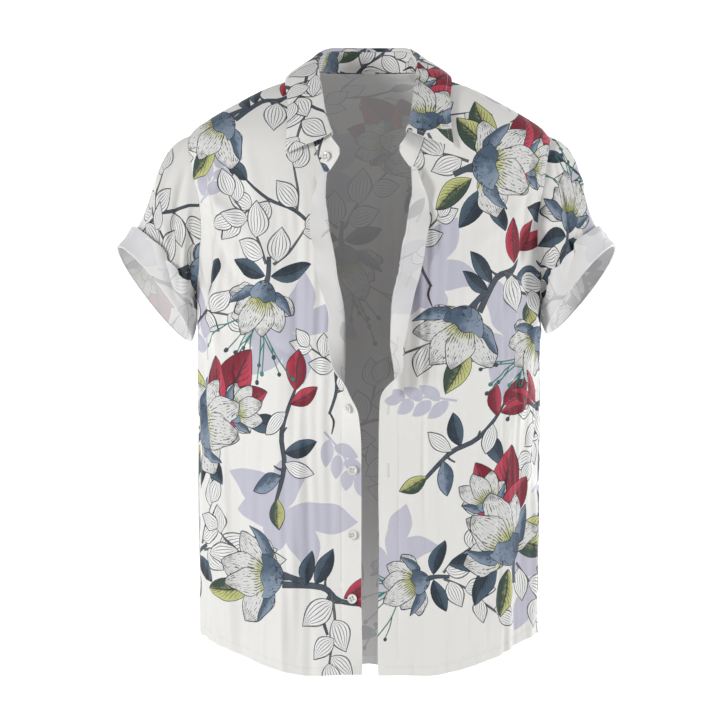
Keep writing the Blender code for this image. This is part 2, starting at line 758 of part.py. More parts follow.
def collar_leaf(material):
    """The turned-down collar, from the stand's top edge over its roll to the pointed edge."""
    stand = stand_rows()
    faces = grid_normals(stand, False, np.array([0.0, 1.0, 0.0]), COLLAR_STEPS // 2)
    edges = {side: leaf_edge(side) for side in SIGN}
    ups = evened([unit(top - foot) for foot, top in zip(stand[0], stand[-1])])
    outs = evened([unit(face - up * np.dot(face, up)) for face, up in zip(faces[-1], ups)])
    lines, starts = [], []
    skip = round((1.0 - LEAF_END) * COLLAR_STEPS / 2)
    for k in range(skip, COLLAR_STEPS + 1 - skip):
        side, place = station(k)
        up, out = ups[k], outs[k]
        edge, over = (through(edges[side], place, column) for column in (0, 1))
        start = stand[-1][k] + up * LEAF_GAP - out * WALL
        lines.append(leaf_line(start, up, out, edge, unit(over)))
        starts.append(-out)
    rows = [list(row) for row in zip(*lines)]
    normals = grid_normals(rows, False, np.array([0.0, -1.0, 0.0]), len(lines) // 2)
    normals[0] = normals[1] = starts
    return cloth("collar_leaf", rows, normals, material)


def button(name, place, axis, material):
    """A dished round button whose back face is centred at place, its axis pointing out."""
    half = BUTTON_DIAMETER / 2
    rim = (
        (half * 0.88, 0.0),
        (half, BUTTON_THICKNESS * 0.5),
        (half * 0.88, BUTTON_THICKNESS),
        (half * 0.64, BUTTON_THICKNESS - BUTTON_DISH),
    )
    across = unit(np.cross(axis, np.array([0.0, 0.0, 1.0])))
    other = np.cross(axis, across)
    vertices, faces = [], []
    for radius, height in rim:
        for k in range(BUTTON_SEGMENTS):
            a = 2 * math.pi * k / BUTTON_SEGMENTS
            spoke = across * math.cos(a) + other * math.sin(a)
            vertices.append(tuple(place + spoke * radius + axis * height))
    for r in range(len(rim) - 1):
        for k in range(BUTTON_SEGMENTS):
            a, b = r * BUTTON_SEGMENTS + k, r * BUTTON_SEGMENTS + (k + 1) % BUTTON_SEGMENTS
            faces.append((a, b, b + BUTTON_SEGMENTS, a + BUTTON_SEGMENTS))
    faces.append(tuple(reversed(range(BUTTON_SEGMENTS))))
    faces.append(tuple(range(len(vertices) - BUTTON_SEGMENTS, len(vertices))))
    return solid(name, vertices, faces, material)


def front_buttons(material):
    """The row of buttons on the wearer's right front, a fixed way in from its free edge."""
    for number, z in enumerate(BUTTON_LEVELS, 1):
        points, normals = strip_path("right", z)
        tail, end = points[-STRIP_FLAT_STEPS - 1], points[-1]
        place = end + unit(tail - end) * BUTTON_FROM_EDGE
        button("button_%d" % number, place + normals[-1] * BUTTON_GAP, normals[-1], material)


def neck_button(material):
    """The button on the stand's rounded end, on the wearer's right."""
    rows = stand_rows()
    normals = grid_normals(rows, False, np.array([0.0, 1.0, 0.0]), COLLAR_STEPS // 2)
    place = 0.5 * (rows[1][NECK_BUTTON_STEP] + rows[2][NECK_BUTTON_STEP])
    axis = unit(normals[1][NECK_BUTTON_STEP] + normals[2][NECK_BUTTON_STEP])
    button("button_neck", place + axis * BUTTON_GAP, axis, material)


def neck_label(material):
    """The small blank tape caught in the back neck seam, inside the stand."""
    rows = stand_rows()
    foot = rows[0][COLLAR_STEPS // 2]
    half, drop, thick = LABEL["width"] / 2, LABEL["drop"], LABEL["thickness"]
    near = foot[1] - WALL - LABEL["clearance"]
    vertices = [
        (x, y, z)
        for x in (-half, half)
        for y in (near - thick, near)
        for z in (foot[2] - drop * 0.5, foot[2] + drop * 0.5)
    ]
    faces = [(0, 1, 3, 2), (4, 6, 7, 5), (0, 4, 5, 1), (2, 3, 7, 6), (0, 2, 6, 4), (1, 5, 7, 3)]
    return solid("neck_label", vertices, faces, material)


def build():
    """The whole shirt."""
    for old in list(bpy.data.objects):
        bpy.data.objects.remove(old, do_unlink=True)
    printed = finish("printed_cloth", CLOTH)
    shade = finish("printed_cloth_collar", CLOTH_SHADE)
    pearl = finish("pearl_button", PEARL)
    back_panel(printed)
    for side in ("right", "left"):
        front_panel(side, printed)
        sleeve(side, printed)
        cuff(side, shade)
    collar_stand(shade)
    collar_leaf(printed)
    front_buttons(pearl)
    neck_button(pearl)
    neck_label(finish("tape", TAPE))


build()
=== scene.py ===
import math

import bpy
import numpy as np
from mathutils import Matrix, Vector
from mathutils.geometry import delaunay_2d_cdt


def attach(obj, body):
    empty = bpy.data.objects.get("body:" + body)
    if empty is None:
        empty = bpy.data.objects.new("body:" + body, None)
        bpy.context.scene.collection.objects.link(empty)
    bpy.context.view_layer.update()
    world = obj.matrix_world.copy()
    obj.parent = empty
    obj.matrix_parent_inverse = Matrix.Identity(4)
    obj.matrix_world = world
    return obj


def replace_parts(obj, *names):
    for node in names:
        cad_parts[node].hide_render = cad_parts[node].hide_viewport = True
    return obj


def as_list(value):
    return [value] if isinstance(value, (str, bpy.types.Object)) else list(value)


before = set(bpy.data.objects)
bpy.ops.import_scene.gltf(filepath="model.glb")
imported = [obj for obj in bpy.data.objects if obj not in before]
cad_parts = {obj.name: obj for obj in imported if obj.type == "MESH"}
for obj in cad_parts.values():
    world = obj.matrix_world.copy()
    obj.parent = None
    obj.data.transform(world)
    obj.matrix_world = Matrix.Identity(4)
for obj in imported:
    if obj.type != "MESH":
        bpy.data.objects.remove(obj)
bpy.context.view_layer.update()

# ---------------------------------------------------------------------------------------------
# The body surface, as the solids have it. Metres and degrees, +Z up, the front towards -Y.

WALL = 0.0015
SEAM_GAP = 0.0004
SEAM_EASE = 1.0
SQUARENESS = 2.2
SECTIONS = (  # z, half width, front depth, back depth
    (-0.740, 0.2020, 0.118, 0.116),
    (-0.600, 0.2040, 0.119, 0.114),
    (-0.450, 0.2055, 0.122, 0.113),
    (-0.330, 0.2060, 0.124, 0.115),
    (-0.250, 0.2065, 0.121, 0.118),
    (-0.190, 0.2075, 0.111, 0.118),
    (-0.150, 0.2105, 0.101, 0.115),
    (-0.110, 0.2170, 0.088, 0.108),
    (-0.080, 0.2200, 0.077, 0.101),
    (-0.064, 0.2110, 0.070, 0.096),
    (-0.050, 0.1920, 0.0625, 0.091),
    (-0.030, 0.1570, 0.050, 0.083),
    (-0.0125, 0.1220, 0.036, 0.075),
    (-0.003, 0.0940, 0.0245, 0.070),
    (0.0035, 0.0670, 0.0140, 0.065),
    (0.0100, 0.0500, 0.0070, 0.060),
)
HEM_LOW, HEM_RISE, HEM_RISE_FROM, HEM_POWER, HEM_CENTRE_RISE = -0.7175, 0.049, 0.35, 1.6, 0.006
ARMHOLE_TOP, ARMHOLE_BOTTOM, ARMHOLE_FRONT, ARMHOLE_BACK = -0.070, -0.283, 17.0, 16.0
ARMHOLE_ROUNDNESS = 0.85
NECK_SIDE_Z = 0.0035
ROLL_COLUMNS = ("z", "fold_x", "strip", "turn", "radius")
ROLLS = {
    "right": (
        (-0.1155, 0.0540, 0.012, 150, 0.0034),
        (-0.1390, 0.0550, 0.018, 160, 0.0032),
        (-0.1580, 0.0530, 0.024, 170, 0.0030),
        (-0.1900, 0.0500, 0.028, 173, 0.0030),
        (-0.2200, 0.0450, 0.030, 173, 0.0031),
        (-0.2600, 0.0380, 0.030, 170, 0.0033),
        (-0.3000, 0.0335, 0.029, 160, 0.0038),
        (-0.3400, 0.0325, 0.028, 128, 0.0045),
        (-0.3750, 0.0345, 0.028, 75, 0.0050),
        (-0.4100, 0.0370, 0.028, 28, 0.0060),
        (-0.4600, 0.0370, 0.028, 6, 0.0060),
        (-0.7300, 0.0360, 0.028, 4, 0.0060),
    ),
    "left": (
        (-0.1085, 0.0540, 0.012, 150, 0.0034),
        (-0.1330, 0.0545, 0.019, 160, 0.0032),
        (-0.1550, 0.0520, 0.027, 172, 0.0030),
        (-0.1900, 0.0460, 0.034, 173, 0.0031),
        (-0.2330, 0.0375, 0.034, 172, 0.0033),
        (-0.2820, 0.0310, 0.033, 162, 0.0038),
        (-0.3200, 0.0305, 0.033, 132, 0.0045),
        (-0.3600, 0.0350, 0.033, 80, 0.0050),
        (-0.4000, 0.0420, 0.033, 30, 0.0060),
        (-0.4500, 0.0440, 0.033, 6, 0.0060),
        (-0.7300, 0.0430, 0.033, 4, 0.0060),
    ),
}
STRIP_DROP = 0.004
STRIP_WAVES = ((0.0016, 70.0), (0.0010, 160.0))  # height, and turn for each metre of level
FOLDS = (  # angle, spread, height, top, deep
    (-62, 7.0, 0.0045, -0.18, -0.60),
    (-46, 6.0, -0.0040, -0.20, -0.62),
    (-30, 6.0, 0.0030, -0.26, -0.55),
    (28, 5.5, -0.0030, -0.24, -0.60),
    (44, 6.5, 0.0045, -0.20, -0.55),
    (60, 6.0, -0.0045, -0.22, -0.66),
    (118, 8.0, 0.0060, -0.20, -0.66),
    (138, 7.0, -0.0055, -0.16, -0.62),
    (163, 8.0, 0.0055, -0.22, -0.66),
    (190, 8.0, -0.0050, -0.18, -0.60),
    (214, 7.0, 0.0060, -0.20, -0.66),
    (238, 8.0, -0.0050, -0.20, -0.66),
)
SLEEVES = {  # outer and inner end of the opening: x, z, x, z
    "right": (0.3020, -0.2040, 0.2150, -0.3160),
    "left": (0.2960, -0.2030, 0.2150, -0.3070),
}
OPENING_HALF_DEPTH, OPENING_TILT, SLEEVE_BOW, SLEEVE_BULGE = 0.052, 0.22, 0.36, 0.35
CUFF_HEIGHT, CUFF_STAND_OFF, CUFF_FLARE, CUFF_MOST_SHARE = 0.030, 0.0009, 0.0028, 0.62
COLLAR_COLUMNS = ("seam_x", "seam_z", "top_x", "top_y", "top_z", "edge_angle", "edge_z")
COLLAR = {
    "right": (
        (0.0000, 0.0065, 0.0000, 0.0600, 0.0330, 180.0, -0.0100),
        (0.0280, 0.0065, 0.0270, 0.0565, 0.0330, 160.0, -0.0100),
        (0.0500, 0.0060, 0.0480, 0.0400, 0.0320, 137.0, -0.0080),
        (0.0670, 0.0035, 0.0605, 0.0080, 0.0235, 105.0, -0.0035),
        (0.0715, -0.0150, 0.0620, -0.0260, 0.0060, 58.0, -0.0095),
        (0.0720, -0.0420, 0.0580, -0.0480, -0.0215, 34.5, -0.0350),
        (0.0695, -0.0690, 0.0540, -0.0660, -0.0480, 27.0, -0.0630),
        (0.0625, -0.0950, 0.0455, -0.0815, -0.0730, 26.2, -0.0960),
        (0.0540, -0.1155, 0.0345, -0.0925, -0.0865, 26.2, -0.1100),
    ),
    "left": (
        (0.0000, 0.0065, 0.0000, 0.0600, 0.0330, 180.0, -0.0100),
        (0.0280, 0.0065, 0.0260, 0.0565, 0.0330, 160.0, -0.0100),
        (0.0500, 0.0060, 0.0465, 0.0400, 0.0320, 137.0, -0.0080),
        (0.0670, 0.0035, 0.0580, 0.0080, 0.0235, 105.0, -0.0035),
        (0.0715, -0.0150, 0.0590, -0.0260, 0.0065, 58.0, -0.0090),
        (0.0720, -0.0400, 0.0560, -0.0470, -0.0200, 35.2, -0.0330),
        (0.0695, -0.0650, 0.0530, -0.0640, -0.0450, 27.7, -0.0590),
        (0.0620, -0.0890, 0.0465, -0.0790, -0.0690, 26.6, -0.0890),
        (0.0540, -0.1085, 0.0360, -0.0905, -0.0830, 26.6, -0.1030),
    ),
}
SIDE_PLACE = 6 / 16
LEAF_CLEARANCE, LEAF_GAP, LEAF_END = 0.0050, 0.0006, 7 / 8
TAB_FROM, TAB_BULGE, TAB_SHRINK = 0.86, 0.0060, 0.10
STAND_GAP, STAND_LIFT = 0.0009, 0.0010
LEAF_RISE, LEAF_RADIUS, LEAF_TURN, LEAF_BOW = 0.0010, 0.0034, 150, 0.005
BUTTON_LEVELS = (-0.170, -0.246, -0.322, -0.397, -0.472, -0.549, -0.625)
BUTTON_FROM_EDGE, BUTTON_GAP = 0.0105, 0.0022
SIGN = {"right": -1.0, "left": 1.0}
MIRROR = np.array([-1.0, 1.0])  # flat cloth, mirrored
FORWARD = np.array([0.0, -1.0, 0.0])

CLOTH = 0.0009  # the cloth's drawn thickness
STEP = 0.0006  # for slopes, metres of cloth


def smooth(value):
    """An S-curve from 0 to 1."""
    value = np.clip(value, 0.0, 1.0)
    return value * value * (3.0 - 2.0 * value)


def unit(v):
    """Directions of length 1."""
    v = np.asarray(v, float)
    return v / np.maximum(np.linalg.norm(v, axis=-1, keepdims=True), 1e-12)


def curve(table, column, key=0):
    """A smooth function of the key column through a table's rows, which never overshoots them."""
    rows = sorted(table, key=lambda row: row[key])
    xs = np.array([row[key] for row in rows], float)
    ys = np.array([row[column] for row in rows], float)
    steps = np.diff(xs)
    slopes = np.diff(ys) / steps
    tangents = np.zeros(len(xs))
    tangents[0], tangents[-1] = slopes[0], slopes[-1]
    for i in range(1, len(xs) - 1):
        if slopes[i - 1] * slopes[i] > 0:
            w1 = 2 * steps[i] + steps[i - 1]
            w2 = steps[i] + 2 * steps[i - 1]
            tangents[i] = (w1 + w2) / (w1 / slopes[i - 1] + w2 / slopes[i])

    def read(x):
        x = np.clip(x, xs[0], xs[-1])
        i = np.clip(np.searchsorted(xs, x, side="right") - 1, 0, len(xs) - 2)
        t = (x - xs[i]) / steps[i]
        return (
            ys[i] * (1 + 2 * t) * (1 - t) ** 2
            + tangents[i] * steps[i] * t * (1 - t) ** 2
            + ys[i + 1] * t * t * (3 - 2 * t)
            + tangents[i + 1] * steps[i] * t * t * (t - 1)
        )

    return read


HALF_WIDTH, FRONT_DEPTH, BACK_DEPTH = (curve(SECTIONS, column) for column in (1, 2, 3))
ROLL = {
    side: {name: curve(rows, i) for i, name in enumerate(ROLL_COLUMNS) if i}
    for side, rows in ROLLS.items()
}


def plain_point(angle, z):
    """The section's own outline, with no folds."""
    a = np.radians(angle)
    s, c = np.sin(a), np.cos(a)
    half_width = HALF_WIDTH(z)
    depth = np.where(c > 0, FRONT_DEPTH(z), BACK_DEPTH(z))
    k = (np.abs(s) ** SQUARENESS + np.abs(c) ** SQUARENESS) ** (-1.0 / SQUARENESS)
    point = np.stack([half_width * k * s, -depth * k * c, z + 0.0 * a], -1)
    outward = unit(np.stack([s / half_width, -c / depth, 0.0 * a], -1))
    return point, outward


def fold_height(angle, z):
    """The large folds, which the solids have too."""
    total = 0.0
    for centre, spread, height, top, deep in FOLDS:
        away = (angle - centre + 180.0) % 360.0 - 180.0
        total = total + height * np.exp(-((away / spread) ** 2)) * smooth((top - z) / (top - deep))
    return total


# Creases pressed and hung into the body, each a soft ridge or trough along a bent line:
# start angle and level, end angle and level, sideways bend, width and height in millimetres.
CREASES = (
    # wearer's right front
    (-70, -0.120, -34, -0.230, 0.008, 9, 1.6),
    (-72, -0.150, -40, -0.300, 0.010, 8, -1.5),
    (-74, -0.200, -50, -0.400, 0.006, 11, 1.8),
    (-76, -0.300, -58, -0.250, -0.006, 7, 1.2),
    (-80, -0.300, -66, -0.470, 0.004, 9, -1.5),
    (-40, -0.080, -30, -0.300, -0.004, 10, 1.1),
    (-26, -0.170, -24, -0.420, 0.003, 8, -1.1),
    (-54, -0.080, -48, -0.200, 0.005, 8, -1.0),
    (-22, -0.430, -30, -0.690, 0.004, 9, 1.4),
    (-36, -0.420, -40, -0.700, -0.003, 8, -1.3),
    (-54, -0.460, -52, -0.690, 0.002, 9, 1.5),
    (-70, -0.440, -74, -0.680, -0.004, 10, 1.5),
    (-82, -0.400, -84, -0.660, 0.002, 8, -1.2),
    (-46, -0.330, -60, -0.390, 0.004, 6, 0.7),
    (-20, -0.340, -44, -0.300, 0.006, 6, -0.8),
    (-62, -0.560, -30, -0.600, 0.005, 7, 0.6),
    (-64, -0.085, -68, -0.330, 0.003, 10, -2.0),
    (-55, -0.090, -58, -0.310, -0.003, 12, 1.8),
    (-45, -0.110, -47, -0.260, 0.003, 10, -1.2),
    (-76, -0.110, -79, -0.400, 0.002, 9, 1.6),
    # wearer's left front
    (68, -0.110, 36, -0.210, 0.008, 9, 1.6),
    (72, -0.170, 42, -0.330, -0.008, 8, -1.5),
    (76, -0.230, 54, -0.440, 0.004, 11, 1.8),
    (78, -0.310, 60, -0.260, 0.006, 7, 1.2),
    (82, -0.320, 70, -0.520, 0.004, 9, -1.5),
    (44, -0.070, 34, -0.280, 0.004, 10, 1.1),
    (28, -0.160, 26, -0.400, -0.003, 8, -1.2),
    (56, -0.080, 50, -0.190, -0.005, 8, -1.0),
    (24, -0.400, 30, -0.690, -0.004, 9, 1.5),
    (38, -0.440, 42, -0.700, 0.003, 8, -1.3),
    (56, -0.450, 52, -0.690, -0.002, 9, 1.4),
    (72, -0.470, 74, -0.680, 0.004, 10, 1.6),
    (84, -0.420, 84, -0.660, -0.002, 8, -1.2),
    (46, -0.350, 62, -0.400, -0.004, 6, 0.8),
    (22, -0.320, 46, -0.290, -0.006, 6, -0.8),
    (60, -0.580, 28, -0.620, -0.005, 7, 0.6),
    (62, -0.085, 66, -0.300, -0.003, 10, -1.8),
    (52, -0.100, 54, -0.280, 0.003, 11, 1.5),
    (74, -0.100, 78, -0.360, 0.002, 9, 1.6),
    # back
    (104, -0.120, 128, -0.280, 0.008, 10, 1.7),
    (106, -0.190, 136, -0.400, -0.006, 10, -1.7),
    (100, -0.290, 122, -0.480, 0.006, 9, 1.6),
    (146, -0.100, 150, -0.320, 0.004, 12, 1.2),
    (172, -0.060, 170, -0.360, -0.004, 12, -1.1),
    (196, -0.080, 192, -0.340, 0.004, 12, 1.2),
    (256, -0.120, 232, -0.290, -0.008, 10, 1.7),
    (254, -0.200, 224, -0.410, 0.006, 10, -1.7),
    (260, -0.300, 238, -0.500, -0.005, 9, 1.6),
    (110, -0.480, 112, -0.690, 0.003, 10, -1.6),
    (128, -0.430, 130, -0.700, -0.003, 10, 1.7),
    (150, -0.420, 148, -0.710, 0.004, 9, -1.4),
    (176, -0.400, 178, -0.700, -0.003, 10, 1.5),
    (202, -0.420, 200, -0.710, 0.003, 9, -1.4),
    (226, -0.440, 228, -0.700, -0.004, 10, 1.7),
    (248, -0.470, 250, -0.690, 0.003, 10, -1.6),
    (140, -0.340, 176, -0.300, 0.010, 7, 0.7),
    (184, -0.290, 222, -0.350, -0.010, 7, 0.7),
)
DEGREE = 0.0031  # metres of cloth round the body in a degree, on average
CREASE_GAIN = 2.5
CREASE_REACH = 0.1  # metres from a crease's start beyond which it isn't worked out
STREAK_HEIGHT, STREAK_TOP, STREAK_FADE = 0.00085, -0.10, 0.1
HEM_RIPPLE, HEM_FADE = 0.0010, 0.09  # the hem's small waves, which fade out upwards
HEM_STITCH, PLACKET_STITCH, SHOULDER_STITCH = 0.0100, 0.0240, 0.0045  # from the cut edges
FRONT_MIDDLE, BACK_MIDDLE = (0.15, -0.3), (0.0, -0.3)  # on the flat cloth
SEWN_DEPTH, SEWN_WIDTH, SEWN_REACH = 0.00050, 0.0013, 0.006
BESIDE_STEP, BESIDE_ROWS = 0.0026, (-0.0022, -0.0011, 0.0, 0.0011, 0.0022)
EDGE_FINE = 90  # points on each edge of a body panel


def line_relief(x, y, x0, y0, x1, y1, bend, width, height):
    """A soft ridge along a bent line, fading out at both ends. Metres throughout."""
    along = np.array([x1 - x0, y1 - y0])
    length = max(np.hypot(*along), 1e-6)
    along = along / length
    u = ((x - x0) * along[0] + (y - y0) * along[1]) / length
    off = -(x - x0) * along[1] + (y - y0) * along[0]
    middle = bend * 4 * np.clip(u, 0, 1) * (1 - np.clip(u, 0, 1))
    ends = smooth((u + 0.12) / 0.35) * smooth((1.12 - u) / 0.35)
    spread = width * (0.8 + 0.5 * np.clip(u, 0, 1))
    r = (off - middle) / spread
    return height * np.exp(-r * r) * (1 - 0.35 * r) * ends


def body_relief(angle, z):
    """All creases of the body, its soft vertical streaks and the hem's small waves."""
    angle = np.asarray(angle, float)
    x, total = angle * DEGREE, 0.0
    for a0, z0, a1, z1, bend, width, height in CREASES:
        for once_round in (0.0, -360.0):
            x0, x1 = (a0 + once_round) * DEGREE, (a1 + once_round) * DEGREE
            if x.min() - CREASE_REACH <= x0 <= x.max() + CREASE_REACH:
                total = total + line_relief(
                    x, z, x0, z0, x1, z1, bend, width / 1000, height / 1000 * CREASE_GAIN
                )
    from_side = smooth((np.abs(np.abs(angle) - 90) - 8) / 40)
    narrow = 0.9 * np.sin(angle * 1.61 + 1.4 * np.sin(z * 14.0 + 1.0)) * from_side
    streaks = np.sin(angle * 0.83 + 2.1 * np.sin(z * 9.0) + 1.0) + narrow
    streaks = streaks * (0.58 + 0.42 * np.sin(angle * 0.17 + 2.5 * np.sin(z * 5.0) + 0.5))
    streaks = STREAK_HEIGHT * streaks * smooth((STREAK_TOP - z) / STREAK_FADE)
    waves = np.sin(angle * 0.62 + 2.0 * np.sin(angle * 0.11)) + 0.6 * np.sin(angle * 1.07 + 1.0)
    near_hem = smooth(1.0 - (z - hem_level(angle)) / HEM_FADE)
    return total + streaks + HEM_RIPPLE * waves * near_hem


def body_point(angle, z, extra=0.0):
    """The body surface's outer face, with its folds and creases."""
    point, outward = plain_point(angle, z)
    height = fold_height(angle, z) + body_relief(angle, z) + extra
    return point + outward * height[..., None]


def body_frame(angle, z):
    """Point, outward normal and level direction towards a greater angle."""
    angle, z = np.asarray(angle, float), np.asarray(z, float)
    point = body_point(angle, z)
    beside = np.where(np.abs(np.abs(angle) - 90.0) < SEAM_EASE, np.copysign(90.0, angle), angle)
    round_it = body_point(beside + 0.4, z) - body_point(beside - 0.4, z)
    up = body_point(beside, z + 0.001) - body_point(beside, z - 0.001)
    return point, unit(np.cross(round_it, up)), unit(round_it)


def angle_at(x, z):
    """The angle, 0 to 90, at which the section is x from the centre line."""
    share = np.clip(x / HALF_WIDTH(z), 1e-6, 1.0 - 1e-9) ** SQUARENESS
    return np.degrees(np.arctan((share / (1.0 - share)) ** (1.0 / SQUARENESS)))


def hem_level(angle):
    """The shirttail hem: raised at the sides, and a little at the centre."""
    a = np.radians(angle)
    s, c = np.abs(np.sin(a)), np.abs(np.cos(a))
    share = s * (s**SQUARENESS + c**SQUARENESS) ** (-1.0 / SQUARENESS)
    rise = np.maximum(share - HEM_RISE_FROM, 0.0) / (1.0 - HEM_RISE_FROM)
    centre = np.maximum(1.0 - share / HEM_RISE_FROM, 0.0)
    return HEM_LOW + HEM_RISE * rise**HEM_POWER + HEM_CENTRE_RISE * centre**2


def armhole(turn, front):
    """The armhole's angle and level, from its top at turn 0 to its bottom at 1."""
    reach = np.where(front, ARMHOLE_FRONT, -ARMHOLE_BACK)
    middle, half = 0.5 * (ARMHOLE_TOP + ARMHOLE_BOTTOM), 0.5 * (ARMHOLE_TOP - ARMHOLE_BOTTOM)
    away = reach * np.sin(np.pi * np.clip(turn, 0, 1)) ** ARMHOLE_ROUNDNESS
    return 90.0 - away, middle + half * np.cos(np.pi * turn)


def seam_line(front, z):
    """The angle of a panel's edge along the side or shoulder seam."""
    depth = FRONT_DEPTH(z) if front else BACK_DEPTH(z)
    away = np.degrees(SEAM_GAP / 2 / depth)
    return 90.0 - away if front else 90.0 + away


def through(values, place):
    """A smooth curve over rows of numbers or points at even places from 0 to 1."""
    values = np.asarray(values, float)
    last = len(values) - 1
    at = np.clip(place, 0.0, 1.0) * last
    i = np.minimum(at.astype(int), last - 1)
    t = at - i
    before, a, b, after = (values[np.clip(i + k, 0, last)] for k in (-1, 0, 1, 2))
    t = t.reshape(t.shape + (1,) * (values.ndim - 1))
    return 0.5 * (
        2 * a + (b - before) * t + (2 * before - 5 * a + 4 * b - after) * t**2
        + (3 * a - before - 3 * b + after) * t**3
    )


def collar_value(side, place, name):
    """A column of the collar's table, from the centre back, 0, to the corner, 1."""
    return through([row[COLLAR_COLUMNS.index(name)] for row in COLLAR[side]], place)


def seam_angle(side, place):
    """The angle and level of the neck seam."""
    x, z = collar_value(side, place, "seam_x"), collar_value(side, place, "seam_z")
    angle = angle_at(x, z)
    return np.where(place < SIDE_PLACE, 180.0 - angle, angle), z


# ---------------------------------------------------------------------------------------------
# The flat cloth of the body: x is the way round from the centre line, y the way up, in metres.

LEVELS = np.linspace(-0.76, 0.0105, 260)
ANGLE_STEPS = 360
ANGLES = np.linspace(0.0, 180.0, ANGLE_STEPS + 1)


def make_rounds():
    """The way round from the centre front, for every level and angle of the plain sections."""
    angles = np.broadcast_to(ANGLES, (len(LEVELS), len(ANGLES)))
    points = plain_point(angles, LEVELS[:, None])[0]
    steps = np.linalg.norm(np.diff(points, axis=1), axis=-1)
    return np.concatenate([np.zeros((len(LEVELS), 1)), np.cumsum(steps, axis=1)], axis=1)


ROUNDS = make_rounds()


def make_heights():
    """The way up the cloth for every level: longer than the level where the shoulder slopes."""
    reach = 0.5 * (FRONT_DEPTH(LEVELS) + HALF_WIDTH(LEVELS))
    steps = np.hypot(np.diff(LEVELS), np.diff(reach) * 0.8)
    heights = np.concatenate([[0.0], np.cumsum(steps)])
    return heights - np.interp(0.0, LEVELS, heights)


HEIGHTS = make_heights()


def height_of(z):
    """The way up the flat cloth at a level."""
    return np.interp(z, LEVELS, HEIGHTS)


def level_of(y):
    """The level at a way up the flat cloth."""
    return np.interp(y, HEIGHTS, LEVELS)


def level_index(z):
    """The row of LEVELS below each level, and the share of the step above it."""
    at = np.interp(z, LEVELS, np.arange(len(LEVELS)))
    i = np.minimum(at.astype(int), len(LEVELS) - 2)
    return i, at - i


def round_of(angle, z):
    """The way round at an angle from 0 to 180."""
    z = np.broadcast_to(z, np.shape(angle))
    i, f = level_index(np.asarray(z, float))
    at = np.clip(np.asarray(angle, float) * (ANGLE_STEPS / 180), 0, ANGLE_STEPS)
    k = np.minimum(at.astype(int), ANGLE_STEPS - 1)
    g = at - k
    low = ROUNDS[i, k] * (1 - g) + ROUNDS[i, k + 1] * g
    high = ROUNDS[i + 1, k] * (1 - g) + ROUNDS[i + 1, k + 1] * g
    return low * (1 - f) + high * f


def angle_of(x, z):
    """The angle, 0 to 180, where the way round is x."""
    low, high = np.zeros(len(x)), np.full(len(x), 180.0)
    for _ in range(22):
        middle = 0.5 * (low + high)
        short = round_of(middle, z) < x
        low, high = np.where(short, middle, low), np.where(short, high, middle)
    return 0.5 * (low + high)


def fold_round(side, z):
    """The way round to the front's fold line."""
    return round_of(angle_at(ROLL[side]["fold_x"](z), z), z)


def mirrored(points, side):
    """Points given for the wearer's left, put on a side."""
    return points * np.array([SIGN[side], 1.0, 1.0])


def strip_point(side, over, z, extra=0.0):
    """The rolled edge strip at a way over from the fold line: its outer face and normal."""
    roll = {name: read(z) for name, read in ROLL[side].items()}
    turn = np.radians(roll["turn"])
    start, normal, round_it = body_frame(angle_at(roll["fold_x"], z) * SIGN[side], z)
    inward = -round_it * SIGN[side]
    arc = np.minimum(turn * roll["radius"], roll["strip"] * 0.7)
    radius = (arc / turn)[..., None]
    a = (np.clip(over, 0, arc) / arc * turn)[..., None]
    flat = np.maximum(over - arc, 0.0)[..., None]
    turned = inward * np.cos(a) + normal * np.sin(a)
    facing = normal * np.cos(a) - inward * np.sin(a)
    point = start + inward * radius * np.sin(a) + normal * radius * (1 - np.cos(a)) + turned * flat
    (high, slow), (low, fast) = STRIP_WAVES
    wave = high * np.sin(z * slow + SIGN[side]) + low * np.sin(z * fast + 1.3)
    loose = smooth((roll["turn"] - 20.0) / 60.0)
    share = np.clip((over - arc) / np.maximum(roll["strip"] - arc, 1e-6), 0, 1)
    return point + facing * (wave * loose * share**1.5 + extra)[..., None]


def way_along(points):
    """The way from the first point to each, along a row of points."""
    return np.concatenate([[0.0], np.cumsum(np.linalg.norm(np.diff(points, axis=0), axis=-1))])


def left_of(path):
    """The unit directions to the left of a flat path, at each of its points."""
    along = unit(np.gradient(path, axis=0))
    return np.stack([-along[:, 1], along[:, 0]], -1)


def away_from(path, x, y):
    """The distance of flat points from a path."""
    best = np.full(len(x), 1.0)
    for p, q in zip(path[:-1], path[1:]):
        way = q - p
        t = np.clip(((x - p[0]) * way[0] + (y - p[1]) * way[1]) / max(way @ way, 1e-12), 0, 1)
        best = np.minimum(best, np.hypot(x - p[0] - t * way[0], y - p[1] - t * way[1]))
    return best


def inset(path, depth, centre):
    """A path moved towards a point's side by a depth."""
    path = np.asarray(path, float)
    side = left_of(path)
    sign = np.sign(np.sum(side * (np.asarray(centre) - path), axis=-1, keepdims=True))
    return path + side * sign * depth


def front_seams(side):
    """The stitched lines of a front on the flat cloth: hem, edge facing and shoulder."""
    _, parts = front_outline(side)
    hem = inset(np.concatenate([parts["strip_hem"], parts["hem"]]), HEM_STITCH, FRONT_MIDDLE)[1:-1]
    edge = parts["edge"] + np.array([PLACKET_STITCH, 0.0])
    edge = edge[edge[:, 1] > hem[:, 1].min() + 0.004][2:]
    return [hem, edge, inset(parts["shoulder"], SHOULDER_STITCH, FRONT_MIDDLE)[1:-1]]


def back_seams():
    """The back's stitched hem on the flat cloth."""
    _, parts = back_outline()
    hem = inset(parts["hem"], HEM_STITCH, BACK_MIDDLE)[:-1]
    return [np.concatenate([hem[::-1] * MIRROR, hem[1:]])]


